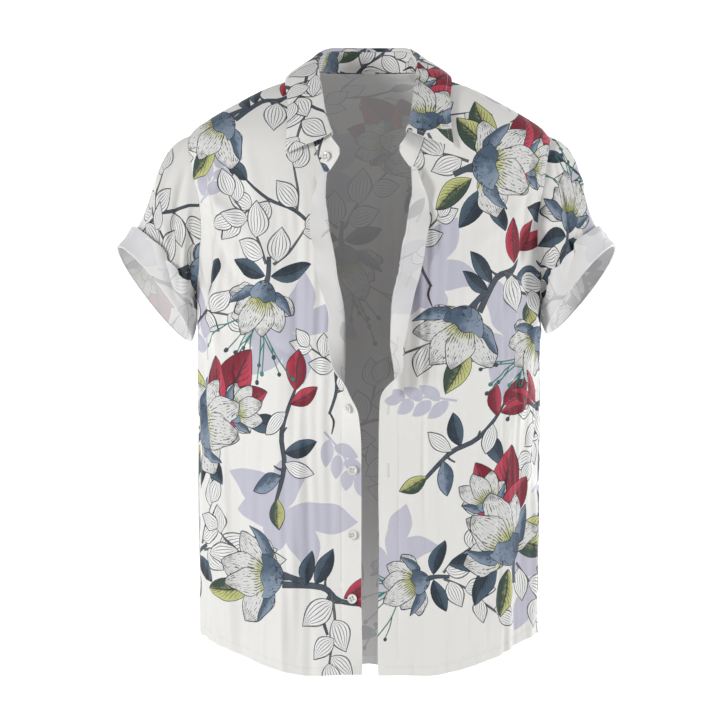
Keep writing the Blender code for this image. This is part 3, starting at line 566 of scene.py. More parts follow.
def sewn(seams, x, y):
    """How far the stitches pull the cloth in."""
    total = 0.0
    for path in seams:
        low, high = path.min(axis=0) - SEWN_REACH, path.max(axis=0) + SEWN_REACH
        near = (x > low[0]) & (x < high[0]) & (y > low[1]) & (y < high[1])
        pull = np.zeros(len(x))
        if near.any():
            px, py = x[near], y[near]
            away = away_from(path[::3], px, py)
            pucker = 1 + 0.35 * np.sin(px * 640.0 + 3.0 * np.sin(px * 150.0)) * np.sin(py * 520.0 + 1.0)
            pull[near] = np.exp(-((away / SEWN_WIDTH) ** 2)) * pucker
        total = total - SEWN_DEPTH * pull
    return total


def beside(seams):
    """Extra cloth points in millimetres along the stitched lines."""
    rows = []
    for path in seams:
        ways = way_along(path)
        at = np.arange(0.001, ways[-1], BESIDE_STEP)
        fine = np.stack([np.interp(at, ways, path[:, k]) for k in range(2)], -1)
        side = left_of(fine)
        rows += [fine + side * step for step in BESIDE_ROWS]
    return np.concatenate(rows) * 1000.0


def neck_corner(side):
    """The level where the neck seam ends at the front's fold line."""
    return collar_value(side, np.array([1.0]), "seam_z")[0]


def front_place(side):
    """Flat cloth of a front to its place in space."""
    corner = neck_corner(side)
    seams = front_seams(side)

    def place(x, y):
        z = level_of(y)
        fold = fold_round(side, z)
        points = np.zeros((len(x), 3))
        strip = (x < fold) & (z < corner - 1e-5)
        body = ~strip
        pulls = sewn(seams, x, y)
        if body.any():
            angle = angle_of(np.maximum(x[body], 0.0), z[body])
            points[body] = body_point(angle * SIGN[side], z[body], pulls[body])
        if strip.any():
            points[strip] = strip_point(side, fold[strip] - x[strip], z[strip], pulls[strip])
        return points

    return place


def panel_edges(front, hem_from, side, places):
    """A body panel's edges as angles and levels: the hem from an angle, then round to the neck."""
    share = np.linspace(0, 1, EDGE_FINE)
    keep_in = np.minimum if front else np.maximum
    side_hem = hem_level(seam_line(front, HEM_LOW))
    hem = hem_from + (seam_line(front, side_hem) - hem_from) * share
    up = side_hem + (ARMHOLE_BOTTOM - side_hem) * share
    hole, hole_z = armhole(1 - share, front)
    ridge = ARMHOLE_TOP + (NECK_SIDE_Z - ARMHOLE_TOP) * share
    neck, neck_z = seam_angle(side, places)
    return {
        "hem": (hem, hem_level(hem)),
        "side": (seam_line(front, up), up),
        "hole": (keep_in(hole, seam_line(front, hole_z)), hole_z),
        "shoulder": (seam_line(front, ridge), ridge),
        "neck": (keep_in(neck, seam_line(front, neck_z)), neck_z),
    }


def front_outline(side):
    """The front's flat outline, in order, and its named edges."""
    hem_z = hem_level(angle_at(ROLLS[side][-1][1], HEM_LOW))
    fold_angle = angle_at(ROLL[side]["fold_x"](hem_z), hem_z)
    places = SIDE_PLACE + (1 - SIDE_PLACE) * np.linspace(0, 1, EDGE_FINE)
    parts = {}
    for name, (angle, z) in panel_edges(True, fold_angle, side, places).items():
        parts[name] = np.stack([round_of(angle, z), height_of(z)], -1)
    top = neck_corner(side) - STRIP_DROP
    down = top + (hem_z - top) * np.linspace(0, 1, 200)
    edge = np.stack([fold_round(side, down) - ROLL[side]["strip"](down), height_of(down)], -1)
    near = np.linspace(0, 1, 8)[1:, None]
    parts["strip_top"] = parts["neck"][-1] + (edge[0] - parts["neck"][-1]) * near
    parts["edge"] = edge
    parts["strip_hem"] = edge[-1] + (parts["hem"][0] - edge[-1]) * near[:-1]
    return np.concatenate(list(parts.values())), parts


def back_place(x, y, seams=()):
    """Flat cloth of the back to its place in space."""
    z = level_of(y)
    half = round_of(np.full(len(x), 180.0), z)
    angle = angle_of(np.maximum(half - np.abs(x), 0.0), z)
    angle = np.where(x >= 0, angle, 360.0 - angle)
    return body_point(angle, z, sewn(seams, x, y))


def back_outline():
    """The back's flat outline, x growing towards the wearer's left, and one half's named edges."""
    places = (SIDE_PLACE - 1e-6) * (1 - np.linspace(0, 1, EDGE_FINE))
    parts = {}
    for name, (angle, z) in panel_edges(False, 180.0, "left", places).items():
        half = round_of(np.full(len(z), 180.0), z)
        parts[name] = np.stack([half - round_of(angle, z), height_of(z)], -1)
    half = np.concatenate(list(parts.values()))
    return np.concatenate([half, half[::-1] * MIRROR]), parts


# ---------------------------------------------------------------------------------------------
# Sleeves, cuffs and collar: fine grids of points, read between their rows and columns.

AROUND, ALONG = 192, 40
SLEEVE_ROUND = 0.42  # metres of cloth round a sleeve
SLEEVE_REACH = 0.13  # metres of cloth from armhole to opening, at the top
SLEEVE_CREASE_GAIN = 1.8


def bezier(a, b, c, d, t):
    """A cubic curve from a to d."""
    return a * (1 - t) ** 3 + 3 * b * t * (1 - t) ** 2 + 3 * c * t * t * (1 - t) + d * t**3


# Creases of a sleeve: the way round and up in shares, twice, then the bend, width and height.
SLEEVE_CREASES = (
    (0.06, 0.95, 0.10, 0.10, 0.006, 8, 2.0),
    (0.14, 0.98, 0.22, 0.15, 0.008, 7, -2.2),
    (0.20, 0.90, 0.33, 0.20, 0.006, 7, 2.2),
    (0.28, 0.98, 0.40, 0.35, -0.004, 6, -1.8),
    (0.36, 0.90, 0.45, 0.30, 0.004, 6, 1.6),
    (0.02, 0.60, 0.20, 0.35, 0.006, 6, 1.2),
    (0.12, 0.35, 0.30, 0.10, 0.004, 6, -1.3),
    (0.55, 0.90, 0.62, 0.30, 0.004, 7, 1.7),
    (0.66, 0.95, 0.74, 0.20, -0.006, 8, -2.0),
    (0.78, 0.95, 0.86, 0.15, 0.006, 8, 2.0),
    (0.90, 0.95, 0.93, 0.20, 0.005, 8, -1.7),
    (0.80, 0.45, 0.97, 0.30, 0.004, 6, 1.1),
)


def sleeve_points(side):
    """A smooth sleeve's points, [row from the seam][way round from the top]."""
    turn = 2.0 * np.arange(AROUND) / AROUND
    front = turn <= 1.0
    angle, z = armhole(np.where(front, turn, 2.0 - turn), front)
    seam, normal, _ = body_frame(angle * SIGN[side], z)
    middle = seam.mean(axis=0)
    along = np.roll(seam, -1, axis=0) - np.roll(seam, 1, axis=0)
    into = unit(np.cross(normal, along))
    into = np.where(np.sum(into * (middle - seam), -1, keepdims=True) > 0, into, -into)
    outer_x, outer_z, inner_x, inner_z = SLEEVES[side]
    outer, inner = mirrored(np.array([[outer_x, 0, outer_z], [inner_x, 0, inner_z]]), side)
    half = 0.5 * (outer - inner)
    facing = unit(np.cross(half, [0.0, 1.0, 0.0]))
    facing = -facing if facing[2] > 0 else facing
    level = np.array([0, -math.sqrt(1 - OPENING_TILT**2), 0])
    forward = (level - facing * OPENING_TILT) * OPENING_HALF_DEPTH
    a = (np.pi * turn)[:, None]
    start = seam + into * SEAM_GAP
    end = 0.5 * (outer + inner) + half * np.cos(a) + forward * np.sin(a)
    outward = mirrored(np.array([1.0, 0.0, 0.0]), side)
    low = 0.5 - 0.5 * np.cos(a)
    leave = unit(facing * 0.8 + normal * SLEEVE_BULGE + outward * 0.25 * low)
    arrive = unit(facing + outward * 0.25 * (1 - low) - np.array([0.0, 0.0, 1.5]) * low**2)
    reach = np.maximum(np.linalg.norm(end - start, axis=-1, keepdims=True) * SLEEVE_BOW, 0.004)
    first, second = start + leave * reach, end - arrive * reach
    return np.array([bezier(start, first, second, end, j / ALONG) for j in range(ALONG + 1)])


def grid_normals(points, closed, outward, column):
    """Normals of a grid, all on the side that agrees with outward at one column of row 0."""
    if closed:
        along = np.roll(points, -1, axis=1) - np.roll(points, 1, axis=1)
    else:
        along = np.gradient(points, axis=1)
    normals = unit(np.cross(along, np.gradient(points, axis=0)))
    return normals if np.dot(normals[0, column], outward) > 0 else -normals


def sleeve_grid(side):
    """A sleeve's points with their creases, and the normals."""
    points = sleeve_points(side)
    normals = grid_normals(points, True, FORWARD, AROUND // 4)
    u = np.arange(AROUND) / AROUND
    v = np.linspace(1, 0, ALONG + 1)[:, None]
    if side == "left":
        u = u + 0.03
    total = 0.0
    for u0, v0, u1, v1, bend, width, height in SLEEVE_CREASES:
        ends = u0 * SLEEVE_ROUND, v0 * SLEEVE_REACH, u1 * SLEEVE_ROUND, v1 * SLEEVE_REACH
        size = bend, width / 1000, height / 1000 * SLEEVE_CREASE_GAIN
        for once_round in (-1.0, 0.0, 1.0):
            x, y = (u[None, :] + once_round) * SLEEVE_ROUND, v * SLEEVE_REACH
            total = total + line_relief(x, y, *ends, *size)
    under = smooth((0.42 - np.abs(np.abs(u - 0.5) - 0.5)) / 0.1)
    calm = smooth((1 - v) / 0.10) * smooth(v / 0.06) * (0.3 + 0.7 * under)
    points = points + normals * (total * calm)[..., None]
    return points, grid_normals(points, True, FORWARD, AROUND // 4)


def read_grid(points, rows, columns, closed):
    """Points between a grid's rows and columns."""
    last = len(points) - 1
    j = np.clip(rows, 0, last)
    a = np.minimum(j.astype(int), last - 1)
    f = (j - a)[:, None]
    width = points.shape[1]
    if closed:
        i = columns % width
        b = i.astype(int) % width
        c = (b + 1) % width
        g = (i - np.floor(i))[:, None]
    else:
        i = np.clip(columns, 0, width - 1)
        b = np.minimum(i.astype(int), width - 2)
        c = b + 1
        g = (i - b)[:, None]
    low = points[a, b] * (1 - g) + points[a, c] * g
    high = points[a + 1, b] * (1 - g) + points[a + 1, c] * g
    return low * (1 - f) + high * f


CUFF_STEPS = 22
CUFF_DENT = 0.00055


def cuff_rows(side):
    """The turned-up end of a sleeve, from under the sleeve's edge, round it and up."""
    points, normals = sleeve_grid(side)
    path, ways = points[::-1], normals[::-1]
    steps = np.linalg.norm(np.diff(path, axis=0), axis=-1)
    lengths = np.concatenate([np.zeros((1, AROUND)), np.cumsum(steps, axis=0)])
    height = np.minimum(CUFF_HEIGHT, CUFF_MOST_SHARE * lengths[-1])
    beyond = unit(path[0] - path[2])
    rows = []
    high, low = WALL + CUFF_STAND_OFF, -2 * CLOTH
    middle, turned = 0.5 * (high + low), 0.5 * (high - low)
    for a in np.radians(np.linspace(-90, 80, 9)):
        up, out = middle + turned * math.sin(a), turned * 0.8 * math.cos(a)
        rows.append(path[0] + ways[0] * up + beyond * out)
    u = np.arange(AROUND) / AROUND
    waves = [np.sin(2 * np.pi * (count * u + shift)) for count, shift in ((7, 0.2), (11, 0.6), (19, 0.1))]
    dent = waves[0] + 0.8 * waves[1] + 0.6 * waves[2]
    columns = np.arange(AROUND, dtype=float)
    for j in range(1, CUFF_STEPS + 1):
        share = j / CUFF_STEPS
        want, swell = height * share, math.sin(0.5 * math.pi * share)
        at = np.array([np.interp(want[i], lengths[:, i], np.arange(ALONG + 1)) for i in range(AROUND)])
        off = WALL + CUFF_STAND_OFF + CUFF_FLARE * swell**2 + CUFF_DENT * (dent + 1.2) * swell
        way = unit(read_grid(ways, at, columns, True))
        rows.append(read_grid(path, at, columns, True) + way * off[:, None])
    return np.array(rows)


COLLAR_FINE = 240


def stations():
    """The collar's stations from the wearer's right to the left: each one's side and place."""
    place = 2.0 * np.arange(COLLAR_FINE + 1) / COLLAR_FINE - 1.0
    return np.where(place > 0, 1.0, -1.0), np.abs(place)


def both_sides(read):
    """A point for each station of the collar, read(side, places) on its own side."""
    sign, places = stations()
    result = np.zeros((COLLAR_FINE + 1, 3))
    for side in SIGN:
        mine = sign == SIGN[side]
        result[mine] = read(side, places[mine])
    return result


STAND_FINE = 14


def stand_grid():
    """The collar stand's points, rows from the seam up, and its normals."""

    def foot(which):
        def read(side, places):
            angle, z = seam_angle(side, places)
            return body_frame(angle * SIGN[side], z)[which]

        return read

    def top(side, places):
        corners = [collar_value(side, places, name) for name in ("top_x", "top_y", "top_z")]
        return mirrored(np.stack(corners, -1), side)

    seam, lifts, tops = (both_sides(read) for read in (foot(0), foot(1), top))
    sign, places = stations()
    rounding = np.maximum(places - TAB_FROM, 0.0) / (1.0 - TAB_FROM)
    shrinks = 1.0 - TAB_SHRINK * (1.0 - np.sqrt(np.maximum(1.0 - rounding**2, 0.0)))
    along = np.gradient(seam, axis=0)
    along[[0, -1]] = along[[1, -2]]
    into = unit(np.cross(along, lifts))
    low = seam + into * STAND_GAP + lifts * STAND_LIFT
    ahead = unit(along) * (sign * TAB_BULGE * rounding**2)[:, None]
    rows = []
    for v in np.linspace(0, 1, STAND_FINE + 1):
        round_end = (1 - abs(2 * v - 1) ** 3.5) ** 0.35
        rows.append(low + (tops - low) * (shrinks * v)[:, None] + ahead * round_end)
    points = np.array(rows)
    return points, grid_normals(points, False, -FORWARD, COLLAR_FINE // 2)


def evened(directions, times):
    """Unit directions along the collar, averaged with their neighbours a number of times."""
    for _ in range(times):
        padded = np.concatenate([directions[:1], directions, directions[-1:]])
        directions = unit(padded[:-2] + 2 * directions + padded[2:])
    return directions


LEAF_TURN_FINE, LEAF_FALL_FINE, LEAF_EVENED = 12, 26, 90


def leaf_grid():
    """The turned-down leaf's points, rows from the stand's top over the turn, and its normals."""
    stand, faces = stand_grid()
    ups = evened(unit(stand[-1] - stand[0]), LEAF_EVENED)
    outs = evened(unit(faces[-1] - ups * np.sum(faces[-1] * ups, -1, keepdims=True)), LEAF_EVENED)

    def free_edge(which):
        def read(side, places):
            angle, z = (
                np.array([row[COLLAR_COLUMNS.index(name)] for row in COLLAR[side]])
                for name in ("edge_angle", "edge_z")
            )
            lie, over, _ = body_frame(angle * SIGN[side], z)
            return through((lie + over * (LEAF_CLEARANCE + WALL), over)[which], places)

        return read

    edge, over = both_sides(free_edge(0)), unit(both_sides(free_edge(1)))
    start = stand[-1] + ups * LEAF_GAP - outs * WALL
    middle = start + ups * LEAF_RISE + outs * LEAF_RADIUS
    rows, whole = [start], math.radians(LEAF_TURN)
    for k in range(LEAF_TURN_FINE + 1):
        a = whole * k / LEAF_TURN_FINE
        rows.append(middle + (ups * math.sin(a) - outs * math.cos(a)) * LEAF_RADIUS)
    ahead = outs * math.sin(whole) + ups * math.cos(whole)
    turned = rows[-1]
    third = (edge - turned) / 3
    reach = np.linalg.norm(third, axis=-1, keepdims=True)
    first, second = turned + ahead * reach, edge - third + over * LEAF_BOW
    rows += [bezier(turned, first, second, edge, (k + 1) / LEAF_FALL_FINE) for k in range(LEAF_FALL_FINE)]
    skip = round((1.0 - LEAF_END) * COLLAR_FINE / 2)
    points = np.array(rows)[:, skip : COLLAR_FINE + 1 - skip]
    return points, grid_normals(points, False, FORWARD, points.shape[1] // 2)


# ---------------------------------------------------------------------------------------------
# The print: shapes drawn on the flat cloth, in millimetres, later ones over earlier ones.


def paint(code):
    """A colour written as six hexadecimal digits, made linear."""
    values = [int(code[i : i + 2], 16) / 255 for i in (0, 2, 4)]
    return tuple(v / 12.92 if v <= 0.04045 else ((v + 0.055) / 1.055) ** 2.4 for v in values)


PLAIN, PETAL, LEAF, LINES, SMOOTH_LEAF = 0.0, 1.0, 2.0, 3.0, 4.0
PAINTS = {  # base, far colour, kind of drawing in it
    "ground": (paint("EEEDEA"), paint("EEEDEA"), PLAIN),
    "ink": (paint("2C2F36"), paint("2C2F36"), PLAIN),
    "shadow": (paint("C6C5D3"), paint("D2D1DC"), PLAIN),
    "petal": (paint("B7BB4E"), paint("DFDFDD"), PETAL),
    "slate": (paint("4F6276"), paint("8797AA"), SMOOTH_LEAF),
    "dusk": (paint("2E3A45"), paint("4E6273"), LEAF),
    "crimson": (paint("861F33"), paint("C23F54"), LEAF),
    "mixed": (paint("3F5348"), paint("C9CC86"), LEAF),
    "lines": (paint("F2F2F1"), paint("F2F2F1"), LINES),
    "wood": (paint("4A535E"), paint("7D858E"), PLAIN),
    "teal": (paint("3C8F80"), paint("86CFBB"), PLAIN),
    "bud": (paint("3A4653"), paint("6BB5A2"), PLAIN),
}


def twice_area(outline):
    """Twice a closed flat outline's area, below 0 where it runs clockwise."""
    x, y = outline[:, 0], outline[:, 1]
    return np.dot(x, np.roll(y, -1)) - np.dot(y, np.roll(x, -1))


def turn(x, y, angle, size=1.0, flip=1.0):
    """Move, turn in degrees and resize: a 3 by 3 matrix."""
    c, s = math.cos(math.radians(angle)), math.sin(math.radians(angle))
    return np.array([[c * size, -s * size * flip, x], [s * size, c * size * flip, y], [0, 0, 1.0]])


class Drawing:
    """The shapes of a print, each in the order in which it is drawn."""

    def __init__(self):
        self.shapes = []

    def add(self, matrix, outline, name, measure):
        points = outline @ matrix[:2, :2].T + matrix[:2, 2]
        if twice_area(points) < 0:
            points = points[::-1]
        self.shapes.append((points, name, np.linalg.inv(matrix), measure))

    def blade(
        self, matrix, length, half, name,
        widest=0.5, point=1.6, bend=0.0, wave=0.0, phase=0.0, ink=0.85, steps=13,
    ):
        """A petal or leaf along +X from the origin, with an inked outline."""
        a, b = point * widest, point * (1 - widest)

        def fullness(u):
            return (u / widest) ** a * ((1 - u) / (1 - widest)) ** b

        def midline(u):
            return length * (bend * u * u + 0.035 * np.sin(5.2 * u + phase) * u)

        def outline(extra):
            u = 0.5 - 0.5 * np.cos(np.linspace(0, np.pi, steps))
            calm, swell = smooth(u * 4), extra * np.sin(np.pi * u) ** 0.5
            ripple = 1 + wave * np.sin(u * 11 + phase) * calm
            other = 1 + wave * np.sin(u * 9 + phase * 1.7 + 2) * calm
            x = -extra * 0.8 + u * (length + extra * 2.2)
            middle, wide = midline(np.clip(x / length, 0, 1)), half * fullness(u)
            upper = np.stack([x, middle + wide * ripple + swell], -1)
            lower = np.stack([x, middle - wide * other - swell], -1)
            return np.concatenate([upper, lower[-2:0:-1]])

        def measure(p):
            u = np.clip(p[:, 0] / length, 0.0, 1.0)
            full = half * fullness(np.clip(u, 0.02, 0.98))
            return u, np.clip((p[:, 1] - midline(u)) / np.maximum(full, 0.5), -1.3, 1.3)

        if ink:
            scale = np.sqrt(abs(np.linalg.det(matrix[:2, :2])))
            self.add(matrix, outline(ink / scale), "ink", measure)
        self.add(matrix, outline(0.0), name, measure)

    def stroke(self, matrix, path, widths, name, ink=0.6):
        """A line of changing width through a few points."""
        path = np.asarray(path, float)
        t = np.linspace(0, 1, 4 * len(path) - 3)
        fine = through(path, t)
        width = np.interp(t, np.linspace(0, 1, len(widths)), widths)
        side = left_of(fine)
        total = max(np.linalg.norm(np.diff(fine, axis=0), axis=1).sum(), 1e-6)
        start, way = fine[0], unit(fine[-1] - fine[0])

        def measure(p):
            return np.clip((p - start) @ way / total, 0, 1), np.zeros(len(p))

        scale = np.sqrt(abs(np.linalg.det(matrix[:2, :2])))
        for extra, paint_name in ((ink / scale, "ink"), (0.0, name)):
            if ink or paint_name != "ink":
                reach = side * (0.5 * width + extra)[:, None]
                outline = np.concatenate([fine + reach, (fine - reach)[::-1]])
                self.add(matrix, outline, paint_name, measure)

    def bowl(self, m, radius, wide, phase=0.0):
        """The slate cup of a flower that opens towards +X, with a wavy rim and two curled wings."""
        for sign in (-1, 1):
            wing = turn(-radius * 0.02, sign * wide * 0.62, sign * (78 + 8 * math.sin(phase + sign)))
            self.blade(
                m @ wing, radius * (0.66 + 0.08 * math.sin(phase * 2 + sign)), radius * 0.125, "slate",
                widest=0.40, point=1.5, bend=-0.42 * sign, wave=0.10, phase=phase, steps=19,
            )
        t = np.linspace(-1, 1, 19)
        outer = np.stack([-radius * 0.27 + radius * 0.30 * np.abs(t) ** 2.4, wide * t], -1)
        reach = 0.17 + 0.035 * np.sin(6.5 * t + phase) - 0.05 * np.abs(t) ** 3
        rim = np.stack([radius * reach, wide * t], -1)

        def measure(p):
            return np.clip(p[:, 0] / (0.5 * radius) + 0.5, 0, 1), np.clip(p[:, 1] / wide, -1.3, 1.3)

        shape = np.concatenate([outer, rim[::-1]])
        self.add(m, shape + 0.9 * unit(shape - shape.mean(axis=0)), "ink", measure)
        self.add(m, shape, "slate", measure)

    def lily(self, m, radius, spin, cup=200):
        """A wide flower: a fan of broad pointed petals that rise from a slate cup."""
        m = m @ turn(0, 0, cup + 180)
        path = [(-radius * 0.62, radius * 0.12), (-radius * 0.4, 0.03 * radius), (-radius * 0.2, 0)]
        self.stroke(m, path, (radius * 0.09, radius * 0.10, radius * 0.20), "wood")
        petals = ((-72, 0.86), (66, 0.92), (-42, 1.04), (40, 1.0), (-14, 1.10), (16, 0.96))
        for k, (angle, size) in enumerate(petals):
            self.blade(
                m @ turn(-radius * 0.05, 0, angle + 5 * math.sin(k * 2.3 + spin)), radius * size,
                radius * (0.27 + 0.03 * math.sin(k * 2.1 + spin)), "petal", widest=0.54, point=1.9,
                bend=0.20 * math.sin(k * 1.9 + spin), wave=0.13, phase=k * 1.1 + spin, steps=25,
            )
        for k in range(9):
            stem = turn(0, 0, -56 + 14 * k + 4 * math.sin(k * 5.1))
            reach = radius * (0.46 + 0.12 * math.sin(k * 3.3))
            path = [(2, 0), (reach * 0.6, 1.0), (reach, 0.3)]
            self.stroke(m @ stem, path, (1.5, 1.2, 0.6), "ink", ink=0)
        self.bowl(m, radius, radius * 0.40, spin)

    def side_flower(self, m, radius, spread=62, petals=5):
        """A flower seen from its side, opening towards +X, in a cup of slate sepals."""
        path = [(-radius * 0.75, radius * 0.10), (-radius * 0.4, 0), (-radius * 0.10, 0)]
        self.stroke(m, path, (radius * 0.06, radius * 0.08, radius * 0.15), "wood")
        middle = (petals - 1) / 2
        for k in sorted(range(petals), key=lambda k: -abs(k - middle)):
            angle = -spread + 2 * spread * k / (petals - 1) + 4 * math.sin(3.1 * k)
            size = radius * (1.0 - 0.10 * abs(k - middle) + 0.06 * math.sin(2.7 * k))
            self.blade(
                m @ turn(0, 0, angle), size, radius * 0.26, "petal", widest=0.52, point=1.75,
                bend=0.18 * math.copysign(abs(angle / 60) ** 0.7, angle), wave=0.08, phase=k * 1.7, steps=19,
            )
        path = [(radius * 0.2, 0), (radius * 0.4, 0.8), (radius * 0.58, 0)]
        for k in range(5):
            self.stroke(m @ turn(0, 0, -26 + 13 * k), path, (1.1, 0.9, 0.6), "ink", ink=0)
        self.bowl(m, radius * 0.9, radius * 0.30, petals + spread)

    def leafy(self, m, length, leaves, name, size=40.0):
        """A stem with leaves on both sides in turn, and one at its end."""
        path = [(0, 0), (length * 0.35, length * 0.06), (length * 0.7, length * 0.03), (length, 0)]
        self.stroke(m, path, (2.6, 2.1, 1.6, 1.1), "wood" if name != "lines" else "lines", ink=0.55)
        for k in range(leaves):
            share = 0.10 + 0.78 * k / max(leaves - 1, 1)
            sign = 1 if k % 2 else -1
            reach = size * (1.08 - 0.28 * share) * (1 + 0.10 * math.sin(4.0 * k + length))
            angle = sign * (46 + 14 * math.sin(k * 2.2 + length))
            self.blade(
                m @ turn(length * share, length * 0.05 * math.sin(3 * share), angle), reach, reach * 0.33,
                name, widest=0.44, point=2.1, bend=-0.16 * sign, wave=0.03, phase=k, steps=15,
            )
        self.blade(
            m @ turn(length * 0.98, 0, 8), size * 0.85, size * 0.33 * 0.8, name,
            widest=0.42, point=2.1, bend=0.10, steps=15,
        )

    def spray(self, m, length, stems, spread):
        """Fine teal stems that end in small buds."""
        for k in range(stems):
            angle = -spread + 2 * spread * k / max(stems - 1, 1) + 5 * math.sin(k * 4.1)
            reach = length * (0.78 + 0.22 * math.cos(k * 2.4))
            bow = reach * 0.10 * math.sin(k * 1.7 + 0.6)
            stem = m @ turn(0, 0, angle)
            path = [(0, 0), (reach * 0.5, bow), (reach, bow * 0.3)]
            self.stroke(stem, path, (0.9, 1.1, 0.9), "teal", ink=0.28)
            bud = stem @ turn(reach - 1, bow * 0.3, 8 * math.sin(k))
            self.blade(bud, 5.6, 2.3, "bud" if k % 2 else "teal", point=0.9, ink=0.4, steps=7)
            if k % 2 == 0:
                path = [(reach * 0.5, bow), (reach * 0.66, bow + 4.5), (reach * 0.86, bow + 6.5)]
                self.stroke(stem, path, (0.8, 0.8, 0.7), "teal", ink=0.28)
                bud = stem @ turn(reach * 0.86 - 1, bow + 6.5, 20)
                self.blade(bud, 4.6, 2.0, "bud", point=0.9, ink=0.4, steps=7)

    def branch(self, m, path, widths):
        """A bough with two short side twigs."""
        self.stroke(m, path, widths, "wood", ink=0.7)
        for k, share in enumerate((0.3, 0.62)):
            p = through(path, np.array([share]))[0]
            twig = m @ turn(p[0], p[1], 50 - 95 * k)
            self.stroke(twig, [(0, 0), (7, 1.5), (15, 1)], (widths[1] * 0.7, 1.6, 0.9), "wood")

    def silhouette(self, m, size, kind):
        """A pale shape with no outline, as if behind the rest."""
        if kind == "bloom":
            for k in range(6):
                self.blade(
                    m @ turn(0, 0, 52 * k + 9 * math.sin(k * 2)), size * (0.85 + 0.22 * math.sin(k * 1.7)),
                    size * 0.23, "shadow", widest=0.50, point=1.9, bend=0.2 * math.sin(k * 2.9),
                    wave=0.12, phase=k * 1.3, ink=0, steps=19,
                )
            return
        path = [(0, 0), (size * 0.5, size * 0.06), (size, 0)]
        self.stroke(m, path, (3.0, 2.6, 1.6), "shadow", ink=0)
        for k in range(6):
            sign = 1 if k % 2 else -1
            self.blade(
                m @ turn(size * (0.15 + 0.15 * k), 0, sign * 46), size * (0.46 - 0.03 * k), size * 0.11,
                "shadow", widest=0.45, bend=-0.15 * sign, ink=0, steps=11,
            )
        self.blade(m @ turn(size * 0.95, 0, 4), size * 0.34, size * 0.09, "shadow", ink=0, steps=11)

    def blades(self, m, rows, **style):
        """Leaves from rows of x, y, turn, length, half width, paint and bend."""
        for x, y, angle, length, half, name, bend in rows:
            self.blade(m @ turn(x, y, angle), length, half, name, bend=bend, **style)


def bouquet_open(d, m):
    """An open flower on a branch with crimson leaves and line-drawn twigs."""
    d.silhouette(m @ turn(52, -64, -40), 84, "bloom")
    d.branch(m, [(-104, -84), (-74, -52), (-48, -44), (-18, -8)], (2.6, 5.2, 6.0, 7.0))
    d.branch(m, [(-60, -50), (-74, -26), (-98, -16)], (4.6, 3.4, 1.8))
    d.leafy(m @ turn(-62, -48, 142), 84, 4, "lines")
    d.blades(m, (
        (-92, -72, 192, 56, 9.5, "crimson", 0.08),
        (-84, -66, 226, 50, 9.5, "crimson", 0.08),
        (-74, -58, 262, 54, 9.5, "crimson", 0.08),
    ), widest=0.46, point=2.0, wave=0.02)
    d.blades(m, (
        (-40, -40, 292, 46, 9.5, "dusk", 0.12),
        (-34, -30, 322, 40, 8.5, "dusk", -0.12),
    ), widest=0.46, point=2.0)
    d.blades(m, ((6, 30, 64, 60, 14, "mixed", -0.10),), widest=0.46, point=1.9, wave=0.03)
    d.leafy(m @ turn(14, 4, 16), 80, 3, "lines")
    d.lily(m, 65, 14, cup=236)


def bouquet_side(d, m):
    """A flower seen from its side with a fall of teal buds."""
    d.silhouette(m @ turn(34, -46, -30), 76, "bloom")
    d.spray(m @ turn(26, 0, -4), 88, 9, 44)
    d.leafy(m @ turn(-34, 6, 132), 98, 4, "lines")
    d.leafy(m @ turn(-36, -2, 204), 60, 2, "lines")
    d.blades(m, (
        (-20, 4, 88, 46, 10, "dusk", 0.18),
        (-22, -4, -112, 48, 10, "dusk", -0.2),
    ), point=1.9)
    d.side_flower(m, 58, spread=60, petals=6)


def bouquet_deep(d, m):
    """Two flowers, one behind the other, over broad crimson and mixed leaves."""
    d.silhouette(m @ turn(30, 70, 40), 96, "leaf")
    d.blades(m, (
        (-6, 14, 112, 96, 25, "crimson", -0.12),
        (-6, 14, 146, 84, 22, "crimson", -0.12),
        (-6, 14, 84, 70, 18, "crimson", -0.12),
    ), widest=0.46, point=1.6, wave=0.04, steps=19)
    d.blades(m, (
        (16, 6, 30, 76, 16, "mixed", 0.14),
        (16, 6, 2, 62, 16, "mixed", 0.14),
    ), widest=0.46, point=1.8, wave=0.04, steps=17)
    d.leafy(m @ turn(30, -20, -34), 92, 4, "lines")
    d.blades(m, (
        (-6, -30, -104, 58, 12, "dusk", 0.16),
        (-14, -26, -140, 52, 11, "dusk", -0.12),
        (14, -34, -72, 56, 13, "mixed", -0.12),
    ), point=1.9)
    d.side_flower(m @ turn(-36, 30, 138), 44, spread=54)
    d.lily(m @ turn(8, -10, 0), 68, -20, cup=318)


def twig_lines(d, m):
    """Only line-drawn leaves on a bent twig, with one dark bud."""
    d.stroke(m, [(-50, -14), (-16, 0), (20, 2), (56, 16)], (2.6, 3.4, 2.8, 1.4), "wood")
    d.leafy(m @ turn(-18, 0, 66), 60, 2, "lines", size=38)
    d.leafy(m @ turn(14, 2, -44), 56, 3, "lines", size=38)
    d.blade(m @ turn(52, 15, 24), 34, 9.0, "dusk", point=1.8)
    d.stroke(m, [(-48, -13), (-62, -8), (-80, -13)], (2.2, 2.8, 1.0), "crimson", ink=0.3)


